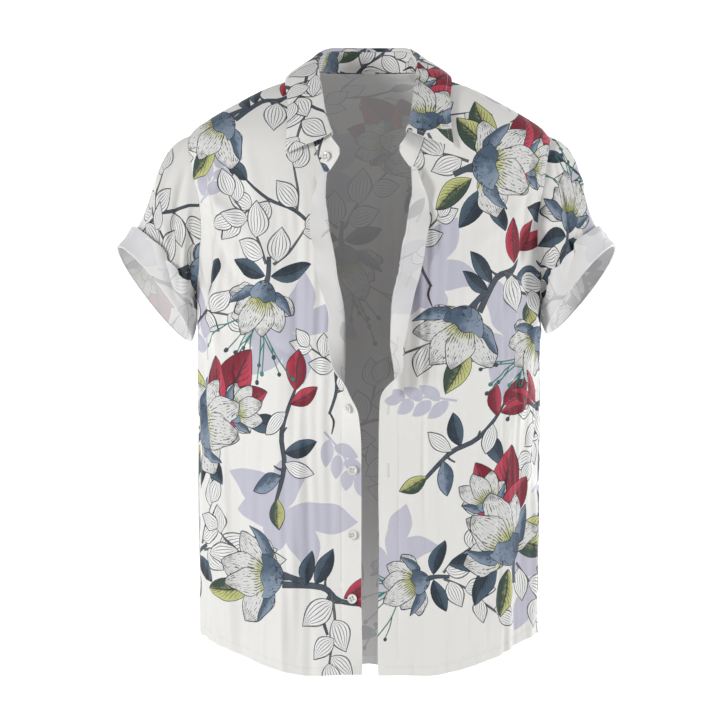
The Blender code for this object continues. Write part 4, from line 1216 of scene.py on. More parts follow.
def twig_dark(d, m):
    """A branch with slate leaves and a pair of crimson ones."""
    d.silhouette(m @ turn(0, -44, 200), 80, "leaf")
    d.branch(m, [(-80, 40), (-34, 18), (12, 12), (66, -18)], (3.0, 5.0, 4.6, 2.0))
    for x, y, angle, length, name in (
        (-46, 24, 96, 46, "slate"), (-16, 14, -92, 44, "dusk"), (20, 10, 70, 50, "dusk"),
        (46, -6, -80, 42, "crimson"), (62, -16, -22, 54, "crimson"), (-74, 36, 164, 40, "mixed"),
        (-30, 16, -130, 40, "lines"), (36, 2, 118, 40, "lines"),
    ):
        row = (x, y, angle, length, length * 0.25, name, 0.12)
        d.blades(m, (row,), point=2.0, wave=0.02, phase=x)


def faint(d, m):
    """Only pale shapes."""
    d.silhouette(m, 78, "bloom")
    d.silhouette(m @ turn(70, -6, 20), 60, "leaf")


MOTIFS = {  # those that come first lie under those that come later
    "faint": faint, "lines": twig_lines, "dark": twig_dark,
    "side": bouquet_side, "open": bouquet_open, "deep": bouquet_deep,
}

# Where the motifs lie on each flat piece: kind, x and y in millimetres, turn, size, mirrored.
LAYOUT = {
    "front_right": (
        ("dark", 262, -170, -66, 0.95, 1), ("lines", 104, -192, 20, 1.0, 1),
        ("open", 182, -88, 8, 0.95, -1), ("side", 128, -296, -72, 1.00, 1),
        ("lines", 236, -330, 140, 1.0, -1), ("deep", 216, -452, 24, 1.00, 1),
        ("dark", 92, -470, 78, 0.90, -1), ("open", 120, -634, 54, 1.00, -1),
        ("side", 250, -620, -40, 0.95, -1), ("lines", 44, -70, 100, 0.8, 1),
        ("deep", 318, -260, 60, 0.9, -1), ("lines", 40, -400, 85, 0.8, 1),
    ),
    "front_left": (
        ("lines", 74, -60, 70, 0.90, -1), ("lines", 250, -60, 10, 1.0, 1),
        ("deep", 156, -142, 140, 1.00, -1), ("dark", 262, -230, 84, 1.00, 1),
        ("open", 118, -330, 190, 1.00, 1), ("side", 226, -350, -128, 0.98, 1),
        ("lines", 60, -250, 95, 0.8, 1), ("dark", 120, -462, 20, 0.9, -1),
        ("deep", 170, -590, -20, 1.00, 1), ("lines", 256, -480, 100, 1.0, -1),
        ("side", 60, -640, 196, 0.85, 1), ("side", 272, -640, 120, 0.92, -1),
        ("open", 316, -440, 30, 0.9, -1),
    ),
    "back": (
        ("open", -136, -90, 10, 1.0, 1), ("lines", 190, -60, 40, 1.0, -1), ("deep", 70, -120, 30, 1.0, 1),
        ("side", -30, -250, -80, 1.0, 1), ("dark", 170, -240, 60, 1.0, -1),
        ("lines", -210, -240, 100, 1.0, 1), ("deep", -140, -370, 170, 1.0, -1),
        ("open", 90, -390, 60, 1.0, 1), ("lines", 240, -370, 0, 1.0, 1), ("lines", -20, -460, 30, 1.0, -1),
        ("side", -250, -500, -40, 1.0, 1), ("deep", 200, -540, 10, 1.0, 1),
        ("dark", -90, -560, -30, 1.0, 1), ("side", 50, -630, -110, 1.0, -1),
        ("open", -190, -650, 90, 1.0, 1), ("lines", 170, -700, 70, 1.0, 1), ("lines", -20, -40, 0, 0.9, 1),
        ("open", 300, -640, 10, 0.9, 1), ("lines", -70, -700, 10, 0.9, -1),
        ("lines", -290, -380, 60, 0.9, 1),
    ),
    "sleeve_right": (
        ("lines", 62, 66, 40, 0.95, 1), ("open", 150, 60, 0, 0.9, 1), ("deep", -70, 60, 120, 0.9, 1),
        ("side", -165, 60, 90, 0.9, 1),
    ),
    "sleeve_left": (
        ("side", 70, 60, 130, 0.95, -1), ("open", -70, 60, 20, 0.9, 1), ("dark", 150, 50, 60, 0.9, 1),
        ("lines", 10, 80, 40, 0.9, 1), ("deep", -165, 50, 90, 0.85, 1),
    ),
    "cuff_right": (
        ("faint", 26, 10, 10, 0.9, 1), ("lines", 128, 18, 8, 0.9, 1), ("faint", -80, 16, 170, 0.9, 1),
        ("open", -170, 10, 0, 0.8, 1),
    ),
    "cuff_left": (
        ("faint", 30, 14, 190, 0.9, 1), ("lines", 150, 18, 20, 0.9, 1), ("open", -100, 12, 0, 0.8, 1),
        ("lines", -20, 16, 0, 0.9, 1),
    ),
    "collar_leaf": (
        ("dark", 140, 52, 100, 0.8, 1), ("lines", -178, 42, 200, 0.95, 1), ("side", 0, 36, 90, 0.9, 1),
        ("lines", 84, 30, 40, 0.9, -1), ("open", -84, 46, 0, 0.8, 1), ("deep", 214, 30, 60, 0.8, 1),
    ),
    "collar_stand": (
        ("deep", -60, 12, 10, 0.8, 1), ("lines", 8, 14, 30, 0.8, 1), ("lines", 120, 14, 0, 0.9, 1),
        ("lines", -140, 12, 180, 0.9, 1), ("dark", -206, 14, 60, 0.7, 1),
    ),
}


def thinned(points, most):
    """An outline without the points that lie within a distance of their neighbours' line."""
    for odd in (1, 0):
        before, after = np.roll(points, 1, axis=0), np.roll(points, -1, axis=0)
        way, reach = after - before, points - before
        across = np.abs(way[:, 0] * reach[:, 1] - way[:, 1] * reach[:, 0])
        away = across / np.maximum(np.hypot(*way.T), 1e-6)
        drop = (np.arange(len(points)) % 2 == odd) & (away < most)
        if len(points) - drop.sum() >= 6:
            points = points[~drop]
    return points


def print_for(name):
    """The shapes for one piece in drawing order: pale ones first, then motif by motif."""
    drawing, rank = Drawing(), list(MOTIFS)
    for kind, x, y, angle, size, flip in sorted(LAYOUT[name], key=lambda motif: rank.index(motif[0])):
        MOTIFS[kind](drawing, turn(x, y, angle, size, flip))
    most = 0.22 if name == "back" else 0.03
    order = sorted(drawing.shapes, key=lambda shape: shape[1] != "shadow")
    return [(thinned(points, most), *rest) for points, *rest in order]


# ---------------------------------------------------------------------------------------------
# Cloth meshes: the flat outline and the print's shapes cut into triangles, then put in place.


def inside(points, outline):
    """Which points a closed outline winds round."""
    x, y = points[:, 0], points[:, 1]
    winding = np.zeros(len(points), int)
    for (x0, y0), (x1, y1) in zip(outline, np.roll(outline, -1, axis=0)):
        if y0 != y1:
            crosses = ((y0 > y) != (y1 > y)) & (x < (x1 - x0) * (y - y0) / (y1 - y0) + x0)
            winding += crosses * (1 if y1 > y0 else -1)
    return winding != 0


def resampled(outline, spacing):
    """A closed outline with even steps, its corners kept."""
    kept = [outline[0]]
    for p in outline[1:]:
        if np.hypot(*(p - kept[-1])) > SAME_POINT:
            kept.append(p)
    if np.hypot(*(kept[0] - kept[-1])) < SAME_POINT:
        kept.pop()
    result = []
    for p, q in zip(kept, kept[1:] + kept[:1]):
        count = max(1, round(np.hypot(*(q - p)) / spacing))
        result += [p + (q - p) * k / count for k in range(count)]
    return np.array(result)


TILE = 105.0  # millimetres: the cloth is cut tile by tile, which is quicker
SAME_POINT, CLOSE_TO_STITCH, CELL = 0.05, 0.8, 3.0  # millimetres
NEAR_BORDER = 0.45  # of the spacing


def tile_border(low, high, spacing):
    """A rectangle's outline with even steps, the same from both sides of a shared edge."""
    corners = [(low[0], low[1]), (high[0], low[1]), (high[0], high[1]), (low[0], high[1])]
    result = []
    for p, q in zip(corners, corners[1:] + corners[:1]):
        count = max(1, round((abs(q[0] - p[0]) + abs(q[1] - p[1])) / spacing))
        (x0, y0), (x1, y1) = sorted((p, q))
        steps = [(x0 + (x1 - x0) * i / count, y0 + (y1 - y0) * i / count) for i in range(count + 1)]
        result += (steps if p == (x0, y0) else steps[::-1])[:-1]
    return result


def cut_tile(low, high, border, shapes, grid, spacing):
    """One tile's points and triangles, cut along the lines of the shapes."""
    outlines = [tile_border(low, high, spacing)]
    if border is not None:
        outlines.append(border)
    for points, box_low, box_high in shapes:
        if (box_high >= low).all() and (box_low <= high).all():
            outlines.append(points)
    verts, edges = [], []
    for points in outlines:
        start, count = len(verts), len(points)
        edges += [(start + k, start + (k + 1) % count) for k in range(count)]
        verts += [Vector(p) for p in points]
    near = spacing * NEAR_BORDER
    within = (grid > low + near).all(axis=1) & (grid < high - near).all(axis=1)
    verts += [Vector(p) for p in grid[within]]
    points, _, triangles, _, _, _ = delaunay_2d_cdt(verts, edges, [], 0, 1e-4, False)
    points = np.array([tuple(p) for p in points]).reshape(-1, 2)
    triangles = np.array([t for t in triangles if len(t) == 3])
    middles = points[triangles].mean(axis=1)
    keep = ((middles > low) & (middles < high)).all(axis=1)
    if border is not None:
        keep[keep] = inside(middles[keep], border)
    return points, triangles[keep]


def cloth_grid(border, spacing, extra):
    """Even points over the cloth and the extra ones, none of them close to its border."""
    low, high = border.min(axis=0), border.max(axis=0)
    xs = np.arange(low[0], high[0], spacing)
    ys = np.arange(low[1], high[1], spacing * 0.87)
    grid = np.array([(x + (k % 2) * spacing / 2, y) for k, y in enumerate(ys) for x in xs])
    if extra is not None:
        cell = np.round(extra / CELL).astype(int)
        around = ((0, 0), (0, -1), (0, 1), (-1, 0), (1, 0))
        busy = {(i + di, j + dj) for i, j in cell for di, dj in around}
        free = np.array([(i, j) not in busy for i, j in np.round(grid / CELL).astype(int)])
        grid = np.concatenate([grid[free], extra])
    grid = grid[inside(grid, border)]
    gaps = np.full(len(grid), 1e9)
    for p in border:
        gaps = np.minimum(gaps, np.abs(grid - p).max(axis=1))
    return grid[gaps > (spacing * NEAR_BORDER if extra is None else CLOSE_TO_STITCH)]


def cut_flat(outline, shapes, spacing, extra=None):
    """Points, triangles and the number of each triangle's shape, in millimetres of flat cloth."""
    border = resampled(outline, spacing)
    if twice_area(border) < 0:
        border = border[::-1]
    grid = cloth_grid(border, spacing, extra)
    low, high = border.min(axis=0) - 1.0, border.max(axis=0) + 1.0
    counts = np.maximum(1, np.round((high - low) / TILE)).astype(int)
    xs, ys = (np.linspace(low[k], high[k], counts[k] + 1) for k in range(2))
    boxed = [(points, points.min(axis=0), points.max(axis=0)) for points, *_ in shapes]
    points, triangles, start = [], [], 0
    for x0, x1 in zip(xs[:-1], xs[1:]):
        for y0, y1 in zip(ys[:-1], ys[1:]):
            tile_low, tile_high = np.array([x0, y0]), np.array([x1, y1])
            close = ((border > tile_low - spacing) & (border < tile_high + spacing)).all(axis=1).any()
            if close or inside(0.5 * (tile_low + tile_high)[None, :], border)[0]:
                some = cut_tile(tile_low, tile_high, border if close else None, boxed, grid, spacing)
                points.append(some[0])
                triangles.append(some[1] + start)
                start += len(some[0])
    points = np.concatenate(points)
    _, first, same = np.unique(np.round(points, 3), axis=0, return_index=True, return_inverse=True)
    flat, triangles = points[first], same.reshape(-1)[np.concatenate(triangles)]
    a, b, c = triangles.T
    triangles = triangles[(a != b) & (b != c) & (a != c)]
    middles, tops = flat[triangles].mean(axis=1), np.zeros(len(triangles), int)
    for number, (points, box_low, box_high) in enumerate(boxed, 1):
        near = np.nonzero(((middles > box_low) & (middles < box_high)).all(axis=1))[0]
        tops[near[inside(middles[near], points)]] = number
    return flat, triangles, tops


def difference_normals(place, sign):
    """Normals of the surface that place gives, worked out from small steps on the flat cloth."""

    def normals(x, y):
        across = place(x + STEP, y) - place(x - STEP, y)
        upward = place(x, y + STEP) - place(x, y - STEP)
        return unit(np.cross(across, upward)) * sign

    return normals


def new_piece(name, mesh, slot, materials):
    """A visible piece that rides on the shirt's one body."""
    for material in materials:
        mesh.materials.append(material)
    piece = bpy.data.objects.new(name, mesh)
    bpy.context.collection.objects.link(piece)
    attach(piece, "root")
    return piece


def rim_faces(triangles, count):
    """The faces that join the open edges of two layers, the second's points a count further on."""
    edges = {(int(t[k]), int(t[(k + 1) % 3])) for t in triangles for k in range(3)}
    return [(q, p, p + count, q + count) for p, q in sorted(edges) if (q, p) not in edges]


def print_values(flat, triangles, tops, shapes):
    """What each corner of each triangle carries of the print: its two colours and its spot."""
    base = np.zeros((len(triangles), 3, 4))
    far = np.zeros((len(triangles), 3, 4))
    spot = np.zeros((len(triangles), 3, 3))
    base[..., 3] = far[..., 3] = 1.0
    for index in np.unique(tops):
        rows = np.nonzero(tops == index)[0]
        paint_name, u, v = "ground", 0.0, 0.0
        if index:
            _, paint_name, back, measure = shapes[index - 1]
            corner = flat[triangles[rows]].reshape(-1, 2)
            u, v = (each.reshape(-1, 3) for each in measure(corner @ back[:2, :2].T + back[:2, 2]))
        base[rows, :, :3], far[rows, :, :3], kind = PAINTS[paint_name]
        spot[rows, :, 0], spot[rows, :, 1], spot[rows, :, 2] = u, v, kind
    return base, far, spot


def put_cloth(
    name, slot, outline, place, materials, spacing,
    wall=CLOTH, shapes=(), inner_first=False, facing=None, extra=None,
):
    """A closed thin cloth: the print side, the wrong side a wall further in, and the cut edge."""
    flat, triangles, tops = cut_flat(outline, shapes, spacing, extra)
    keep, same = np.unique(triangles, return_inverse=True)
    flat, triangles = flat[keep], same.reshape(triangles.shape)
    x, y = flat[:, 0] / 1000, flat[:, 1] / 1000
    points = place(x, y)
    facing = facing or difference_normals(place, -1.0 if inner_first else 1.0)
    normals = facing(x, y)
    a, b, c = (points[triangles[:, k]] for k in range(3))
    if np.sum(np.cross(b - a, c - a) * normals[triangles[:, 0]]) < 0:
        triangles = triangles[:, ::-1]
    back = triangles[:, ::-1]
    rims = np.array(rim_faces(triangles, len(points)))
    verts = np.concatenate([points, points - normals * wall])
    loops = np.concatenate([triangles.ravel(), (back + len(points)).ravel(), rims.ravel()])
    sizes = np.concatenate([np.full(2 * len(triangles), 3), np.full(len(rims), 4)])
    sides = np.repeat([0, 1, 0], [len(triangles), len(triangles), len(rims)])
    mesh = bpy.data.meshes.new(name)
    mesh.vertices.add(len(verts))
    mesh.vertices.foreach_set("co", verts.ravel())
    mesh.loops.add(len(loops))
    mesh.loops.foreach_set("vertex_index", loops.astype(np.int32))
    mesh.polygons.add(len(sizes))
    mesh.polygons.foreach_set("loop_start", (np.cumsum(sizes) - sizes).astype(np.int32))
    mesh.polygons.foreach_set("material_index", sides.astype(np.int32))
    mesh.update(calc_edges=True)
    mesh.validate()

    def corners(values, rim):
        """Values for the corners of the print side, the wrong side and the cut edge."""
        width = values.shape[-1]
        rim = np.broadcast_to(rim, (len(rims) * 4, width))
        return np.concatenate([values.reshape(-1, width), values[:, ::-1].reshape(-1, width), rim])

    base, far, spot = print_values(flat, triangles, tops, shapes)
    ground = (*PAINTS["ground"][0], 1.0)
    for label, values in (("print_base", base), ("print_far", far)):
        layer = mesh.attributes.new(label, "FLOAT_COLOR", "CORNER")
        layer.data.foreach_set("color", corners(values, ground).ravel())
    layer = mesh.attributes.new("print_spot", "FLOAT_VECTOR", "CORNER")
    layer.data.foreach_set("vector", corners(spot, (0.0, 0.0, 0.0)).ravel())
    uv = mesh.uv_layers.new(name="cloth")
    rim_flat = np.concatenate([flat, flat])[rims].reshape(-1, 2) / 1000
    uv.data.foreach_set("uv", corners(flat[triangles] / 1000, rim_flat).ravel())
    mesh.shade_smooth()
    p, q, _, r = (verts[rims[:, k]] for k in range(4))
    rim_normals = np.repeat(unit(np.cross(q - p, r - p)), 4, axis=0)
    front, wrong = normals[triangles].reshape(-1, 3), -normals[back].reshape(-1, 3)
    mesh.normals_split_custom_set(np.concatenate([front, wrong, rim_normals]).tolist())
    return new_piece(name, mesh, slot, materials)


# ---------------------------------------------------------------------------------------------
# Materials.


def connect(tree, value, socket):
    """Give a node's input a number, a colour or what another node puts out."""
    if isinstance(value, Wire):
        tree.links.new(value.socket, socket)
    elif isinstance(value, tuple) and len(value) == 3 and socket.type == "RGBA":
        socket.default_value = (*value, 1.0)
    else:
        socket.default_value = value


def add_node(tree, kind, settings=(), output=0, **inputs):
    """A new shader node with its settings and inputs: one of its outputs, ready for arithmetic."""
    node = tree.nodes.new("ShaderNode" + kind)
    for name, value in dict(settings).items():
        setattr(node, name, value)
    for name, value in inputs.items():
        connect(tree, value, node.inputs[name.replace("_", " ")])
    return Wire(tree, node.outputs[output])


def calc(tree, operation, *values):
    """A Math node on numbers and wires."""
    node = tree.nodes.new("ShaderNodeMath")
    node.operation = operation
    for value, socket in zip(values, node.inputs):
        connect(tree, value, socket)
    return Wire(tree, node.outputs[0])


class Wire:
    """What a node puts out, so that a material's arithmetic can be written as arithmetic."""

    def __init__(self, tree, socket):
        self.tree, self.socket = tree, socket

    def __add__(self, other):
        return calc(self.tree, "ADD", self, other)

    def __sub__(self, other):
        return calc(self.tree, "SUBTRACT", self, other)

    def __rsub__(self, other):
        return calc(self.tree, "SUBTRACT", other, self)

    def __mul__(self, other):
        return calc(self.tree, "MULTIPLY", self, other)

    def highest(self, other):
        return calc(self.tree, "MAXIMUM", self, other)


def mix(tree, share, a, b):
    """The colour a, or b where share is 1."""
    node = tree.nodes.new("ShaderNodeMix")
    node.data_type = "RGBA"
    colours = [socket for socket in node.inputs if socket.type == "RGBA"]
    for value, socket in zip((share, a, b), (node.inputs[0], *colours)):
        connect(tree, value, socket)
    return Wire(tree, next(socket for socket in node.outputs if socket.type == "RGBA"))


def shader(name, rough, sheen=0.0):
    """A new material, its node tree and its shader's inputs."""
    material = bpy.data.materials.new(name)
    material.use_nodes = True
    inputs = material.node_tree.nodes["Principled BSDF"].inputs
    inputs["Roughness"].default_value = rough
    inputs["Sheen Weight"].default_value = sheen
    inputs["Sheen Roughness"].default_value = 0.4
    inputs["Specular IOR Level"].default_value = 0.35
    return material, material.node_tree, inputs


def printed_cloth(name, wrong):
    """The printed cloth: its face, or its paler wrong side where the print only shows through."""
    material, tree, inputs = shader(name, 0.60, sheen=0.04)

    def attribute(label, output):
        return add_node(tree, "Attribute", {"attribute_name": label}, output)

    def is_kind(code):
        return calc(tree, "COMPARE", kind, code, 0.5)

    def ramp(away, width, soft):
        """1 up to a width, falling softly to 0."""
        node = tree.nodes.new("ShaderNodeMapRange")
        node.interpolation_type = "SMOOTHSTEP"
        for value, socket in zip((away, width, calc(tree, "ADD", width, soft), 1.0, 0.0), node.inputs):
            connect(tree, value, socket)
        return Wire(tree, node.outputs[0])

    def line(value, width, soft):
        """1 on the lines where value is whole, their width a share of the pitch."""
        return ramp(absolute(calc(tree, "FRACT", value + 100.5) - 0.5), width, soft)

    def absolute(value):
        return calc(tree, "ABSOLUTE", value)

    base, far = attribute("print_base", "Color"), attribute("print_far", "Color")
    spot = tree.nodes.new("ShaderNodeSeparateXYZ")
    connect(tree, attribute("print_spot", "Vector"), spot.inputs[0])
    u, v, kind = (Wire(tree, socket) for socket in spot.outputs)
    uv = add_node(tree, "UVMap", {"uv_map": "cloth"})
    ripple = add_node(tree, "TexNoise", Vector=uv, Scale=160.0, Detail=2.0) - 0.5
    size = absolute(v)

    # Petals: a coloured base, hatching that thins out towards the tip, a few lines at the rim.
    hatch = line(v * 4.6 + ripple * 1.2, (0.60 - (u + ripple * 1.3)) * 0.46, 0.05)
    broken = ramp(u + ripple * 2.2, 0.52, 0.08)
    tips = line(v * 4.4 + ripple * 1.6, (u + ripple * 1.3 - 0.72) * 0.75, 0.05)
    petal_ink = (hatch * broken).highest(tips)
    # Leaves: a midrib and slanting side veins.
    rib = ramp(size, 0.05, 0.05)
    veins = line(u * 11.0 + ripple * 0.8 - size * 3.0, 0.13 - size * 0.09, 0.05)
    veins = veins * ramp(size + ripple * 0.5, 0.75, 0.15)
    leaf_ink = rib.highest(veins * 0.8)
    # Line leaves: dark lines along them. Smooth leaves: a few dashes at their base.
    lines_ink = line(v * 3.1 + ripple * 0.25, 0.075, 0.06)
    dashes = line(v * 2.1 + ripple * 3.0, (0.52 - (u + ripple * 1.5)) * 0.2, 0.04)
    ink_share = is_kind(PETAL) * petal_ink + is_kind(LEAF) * leaf_ink
    ink_share = ink_share + is_kind(LINES) * lines_ink + is_kind(SMOOTH_LEAF) * dashes

    petal_fade = 1.0 - ramp(u, 0.10, 0.42)
    leaf_fade = 1.0 - ramp(v + ripple * 1.2, -0.5, 1.1)
    share = is_kind(PETAL) * petal_fade + (is_kind(LEAF) + is_kind(SMOOTH_LEAF)) * leaf_fade
    colour = mix(tree, ink_share * 0.88, mix(tree, share, base, far), paint("2C2F36"))
    if wrong:
        colour = mix(tree, 0.74, colour, paint("E6E5E5"))
    connect(tree, colour, inputs["Base Color"])

    warp, weft = (
        add_node(tree, "TexWave", {"bands_direction": way}, "Fac", Vector=uv, Scale=420.0) for way in "XY"
    )
    stretched = add_node(tree, "Mapping", Vector=uv, Scale=(1.0, 0.12, 1.0))
    slub = add_node(tree, "TexNoise", Vector=stretched, Scale=260.0)
    height = (warp + weft) * 0.35 + slub * 1.3
    bump = add_node(tree, "Bump", Strength=0.35, Distance=0.0003, Height=height)
    connect(tree, bump, inputs["Normal"])
    return material


def small_material(name, rough, texture, colours, output=0, **settings):
    """A material of two close colours in a fine pattern, for threads, buttons and tape."""
    material, tree, inputs = shader(name, rough)
    place = add_node(tree, "TexCoord", output="Object")
    pattern = add_node(tree, texture, output=output, Vector=place, **settings)
    connect(tree, mix(tree, pattern, *(paint(code) for code in colours)), inputs["Base Color"])
    return material, inputs


FACE, WRONG = printed_cloth("cloth_face", False), printed_cloth("cloth_wrong_side", True)
THREAD, _ = small_material("thread", 0.6, "TexNoise", ("CFCBC0", "E6E3DA"), Scale=900.0)
PEARL, pearl_inputs = small_material(
    "pearl", 0.18, "TexNoise", ("DAD8D4", "F7F5F1"), Scale=240.0, Distortion=1.5
)
pearl_inputs["Specular IOR Level"].default_value = 0.6
pearl_inputs["Coat Weight"].default_value = 0.3
TAPE, _ = small_material("label_tape", 0.7, "TexWave", ("E4E1DA", "F4F2EC"), output="Fac", Scale=900.0)

# ---------------------------------------------------------------------------------------------
# The cloth pieces.

BODY_SPACING, BACK_SPACING, SLEEVE_SPACING = 3.6, 4.8, 3.4  # millimetres between cloth points
CUFF_SPACING, STAND_SPACING, LEAF_SPACING = 2.4, 2.2, 2.4
COLLAR_CLOTH = 0.0012
CLOTH_SLOT, COLLAR_SLOT = "printed_cloth", "printed_cloth_collar"


def add_cloth(name, slot, outline, place, materials, spacing, rests, **more):
    """Cut and place one cloth from its outline in metres."""
    more["shapes"] = print_for(name)
    piece = put_cloth(name + "_cloth", slot, outline * 1000.0, place, materials, spacing, **more)
    low, high = outline.min(axis=0), outline.max(axis=0)
    flat = (float(high[0] - low[0]), float(high[1] - low[1]))
    area = float(0.5 * abs(twice_area(outline)))
    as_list(rests)
    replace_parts(piece, name)


def build_body():
    """The two fronts and the back."""
    for side in SIGN:
        outline, _ = front_outline(side)
        add_cloth(
            "front_" + side, CLOTH_SLOT, outline, front_place(side), (FACE, WRONG), BODY_SPACING,
            ["back"], inner_first=side == "right", extra=beside(front_seams(side)),
        )
    outline, _ = back_outline()
    seams = back_seams()

    def sewn_back(x, y):
        return back_place(x, y, seams)

    add_cloth(
        "back", CLOTH_SLOT, outline, sewn_back, (FACE, WRONG), BACK_SPACING,
        ["front_right", "front_left"], inner_first=True, extra=beside(seams),
    )


def grid_place(points, normals, closed, column_of, row_of):
    """Reads a grid of points, and of normals, at flat places in metres."""

    def place(x, y):
        return read_grid(points, row_of(x, y), column_of(x), closed)

    def facing(x, y):
        return unit(read_grid(normals, row_of(x, y), column_of(x), closed))

    return place, facing


def band_outline(xs, tops):
    """The outline of a flat band that stands on y = 0, between its ends."""
    first, last = np.full(8, xs[0]), np.full(7, xs[-1])
    return np.concatenate([
        np.stack([xs, 0 * xs], -1),
        np.stack([last, np.linspace(0, tops[-1], 8)[1:]], -1),
        np.stack([xs, tops], -1)[::-1][1:-1],
        np.stack([first, np.linspace(tops[0], 0, 8)], -1)[:-1],
    ])


def build_sleeves():
    """The sleeves and their turned-up ends."""
    xs = np.linspace(-SLEEVE_ROUND / 2, SLEEVE_ROUND / 2, 161)

    def column_of(x):
        return x / SLEEVE_ROUND * AROUND

    for side in SIGN:
        points, normals = sleeve_grid(side)
        lengths = np.linalg.norm(np.diff(points, axis=0), axis=-1).sum(axis=0)
        lengths = np.append(lengths, lengths[0])

        def top_of(x, lengths=lengths):
            return np.interp(np.mod(column_of(x), AROUND), np.arange(AROUND + 1), lengths)

        def sleeve_row(x, y, top_of=top_of):
            return ALONG * (1 - y / top_of(x))

        place, facing = grid_place(points, normals, True, column_of, sleeve_row)
        add_cloth(
            "sleeve_" + side, CLOTH_SLOT, band_outline(xs, top_of(xs)), place, (FACE, WRONG),
            SLEEVE_SPACING, ["front_" + side, "back"], facing=facing,
        )

        rows = cuff_rows(side)
        ways = grid_normals(rows, True, np.array([0.0, 0.0, 1.0]), 0)
        if np.dot(ways[-1, 0], normals[-1, 0]) < 0:
            ways = -ways
        steps = np.linalg.norm(np.diff(rows, axis=0), axis=-1).mean(axis=1)
        marks = np.concatenate([[0.0], np.cumsum(steps)])

        def cuff_row(x, y, marks=marks):
            return np.interp(y, marks, np.arange(len(marks)))

        place, facing = grid_place(rows, ways, True, column_of, cuff_row)
        add_cloth(
            "cuff_" + side, COLLAR_SLOT, band_outline(xs, 0 * xs + marks[-1]), place,
            (WRONG, FACE), CUFF_SPACING, ["sleeve_" + side], facing=facing,
        )


def flat_collar(grid):
    """A collar piece's flat cloth: the ways along it, its height there, and how to place it."""
    points, normals = grid
    rows, columns = points.shape[:2]
    ways = way_along(0.5 * (points[0] + points[-1]))
    ways -= 0.5 * ways[-1]
    tall = np.linalg.norm(np.diff(points, axis=0), axis=-1).sum(axis=0)

    def column_of(x):
        return np.interp(x, ways, np.arange(columns))

    def row_of(x, y):
        return y / np.interp(x, ways, tall) * (rows - 1)

    return ways, tall, *grid_place(points, normals, False, column_of, row_of)


def build_collar():
    """The collar's stand and leaf."""
    for name, slot, grid, spacing, rests in (
        ("collar_stand", COLLAR_SLOT, stand_grid(), STAND_SPACING, ["back", "front_right", "front_left"]),
        ("collar_leaf", CLOTH_SLOT, leaf_grid(), LEAF_SPACING, ["collar_stand"]),
    ):
        ways, tall, place, facing = flat_collar(grid)
        low, high = np.stack([ways, 0 * ways], -1), np.stack([ways, tall], -1)
        share = np.linspace(0, 1, 10)[1:-1, None]
        up, down = low[-1] + (high[-1] - low[-1]) * share, high[0] + (low[0] - high[0]) * share
        outline = np.concatenate([low, up, high[::-1], down])
        add_cloth(name, slot, outline, place, (FACE, FACE), spacing, rests, facing=facing, wall=COLLAR_CLOTH)


build_body()
build_sleeves()
build_collar()


# ---------------------------------------------------------------------------------------------
# Sewing, buttons and label.


COLLAR_STITCH, STAND_STITCH = 0.005, 0.0035  # from the leaf's free edge, from the stand's foot
BUTTON_RADIUS, BUTTON_THICKNESS, BUTTON_SIDES = 0.00575, 0.0024, 40
HOLE_RADIUS, HOLE_PLACE, HOLE_SIDES = 0.00095, 0.00155, 12
BUTTON_RINGS = (  # share of the radius, height of the top there
    (0.16, 0.72), (0.42, 0.72), (0.58, 0.72), (0.66, 0.76),
    (0.74, 0.93), (0.84, 1.0), (0.93, 0.95), (0.985, 0.78), (1.0, 0.55),
)
BUTTON_BOTTOM = ((0.0, 0.0), (0.9, 0.0), (1.0, 0.45))
THREAD_RADIUS, THREAD_SHIFT, SHANK_RADIUS = 0.00028, 0.00022, 0.0013
HOLE_LENGTH, HOLE_BARS = 0.015, 24  # a buttonhole's length and the stitches along each side


class Collector:
    """Small parts gathered into one mesh."""

    def __init__(self):
        self.verts, self.faces = [], []

    def add(self, verts, faces):
        start = len(self.verts)
        self.verts += [tuple(v) for v in verts]
        self.faces += [tuple(i + start for i in f) for f in faces]

    def finish(self, name, slot, material):
        mesh = bpy.data.meshes.new(name)
        mesh.from_pydata(self.verts, [], self.faces)
        mesh.update()
        mesh.shade_smooth()
        return new_piece(name, mesh, slot, (material,))


STITCH_PITCH, STITCH_SINK = 0.0033, 0.00012
STITCH_ARCH = ((0.0, None, 0.5), (0.22, 0.8, 1.0), (0.5, 1.0, 1.1), (0.78, 0.8, 1.0), (1.0, None, 0.5))


def stitch(collector, a, b, up, width=0.00042, height=0.00030):
    """One stitch: a little arched bar of thread from a to b, its ends sunk into the cloth."""
    along = b - a
    side = unit(np.cross(along, up)) * width / 2
    verts = []
    for share, rise, wide in STITCH_ARCH:
        lift = -STITCH_SINK if rise is None else height * rise
        foot, top = a + along * share - up * STITCH_SINK, a + along * share + up * lift
        for base, reach in ((foot, -wide), (top, -wide * 0.45), (top, wide * 0.45), (foot, wide)):
            verts.append(base + side * reach)
    corners = [4 * k + j for k in range(4) for j in range(3)]
    collector.add(verts, [(p, p + 1, p + 5, p + 4) for p in corners])


def stitch_row(collector, place, normals, path, lift=0.0):
    """Stitches along a flat path: place and normals read flat metres."""
    fine, marks = np.linspace(0, 1, 12 * len(path)), np.linspace(0, 1, len(path))
    x, y = (np.interp(fine, marks, path[:, k]) for k in (0, 1))
    ups = normals(x, y)
    points = place(x, y) + ups * lift
    ways = way_along(points)

    def at(way, values):
        return np.array([np.interp(way, ways, values[:, i]) for i in range(3)])

    for k in range(int(ways[-1] / STITCH_PITCH)):
        start, end = (k + 0.14) * STITCH_PITCH, (k + 0.86) * STITCH_PITCH
        up = unit(at((start + end) / 2, ups))
        stitch(collector, at(start, points), at(end, points), up)


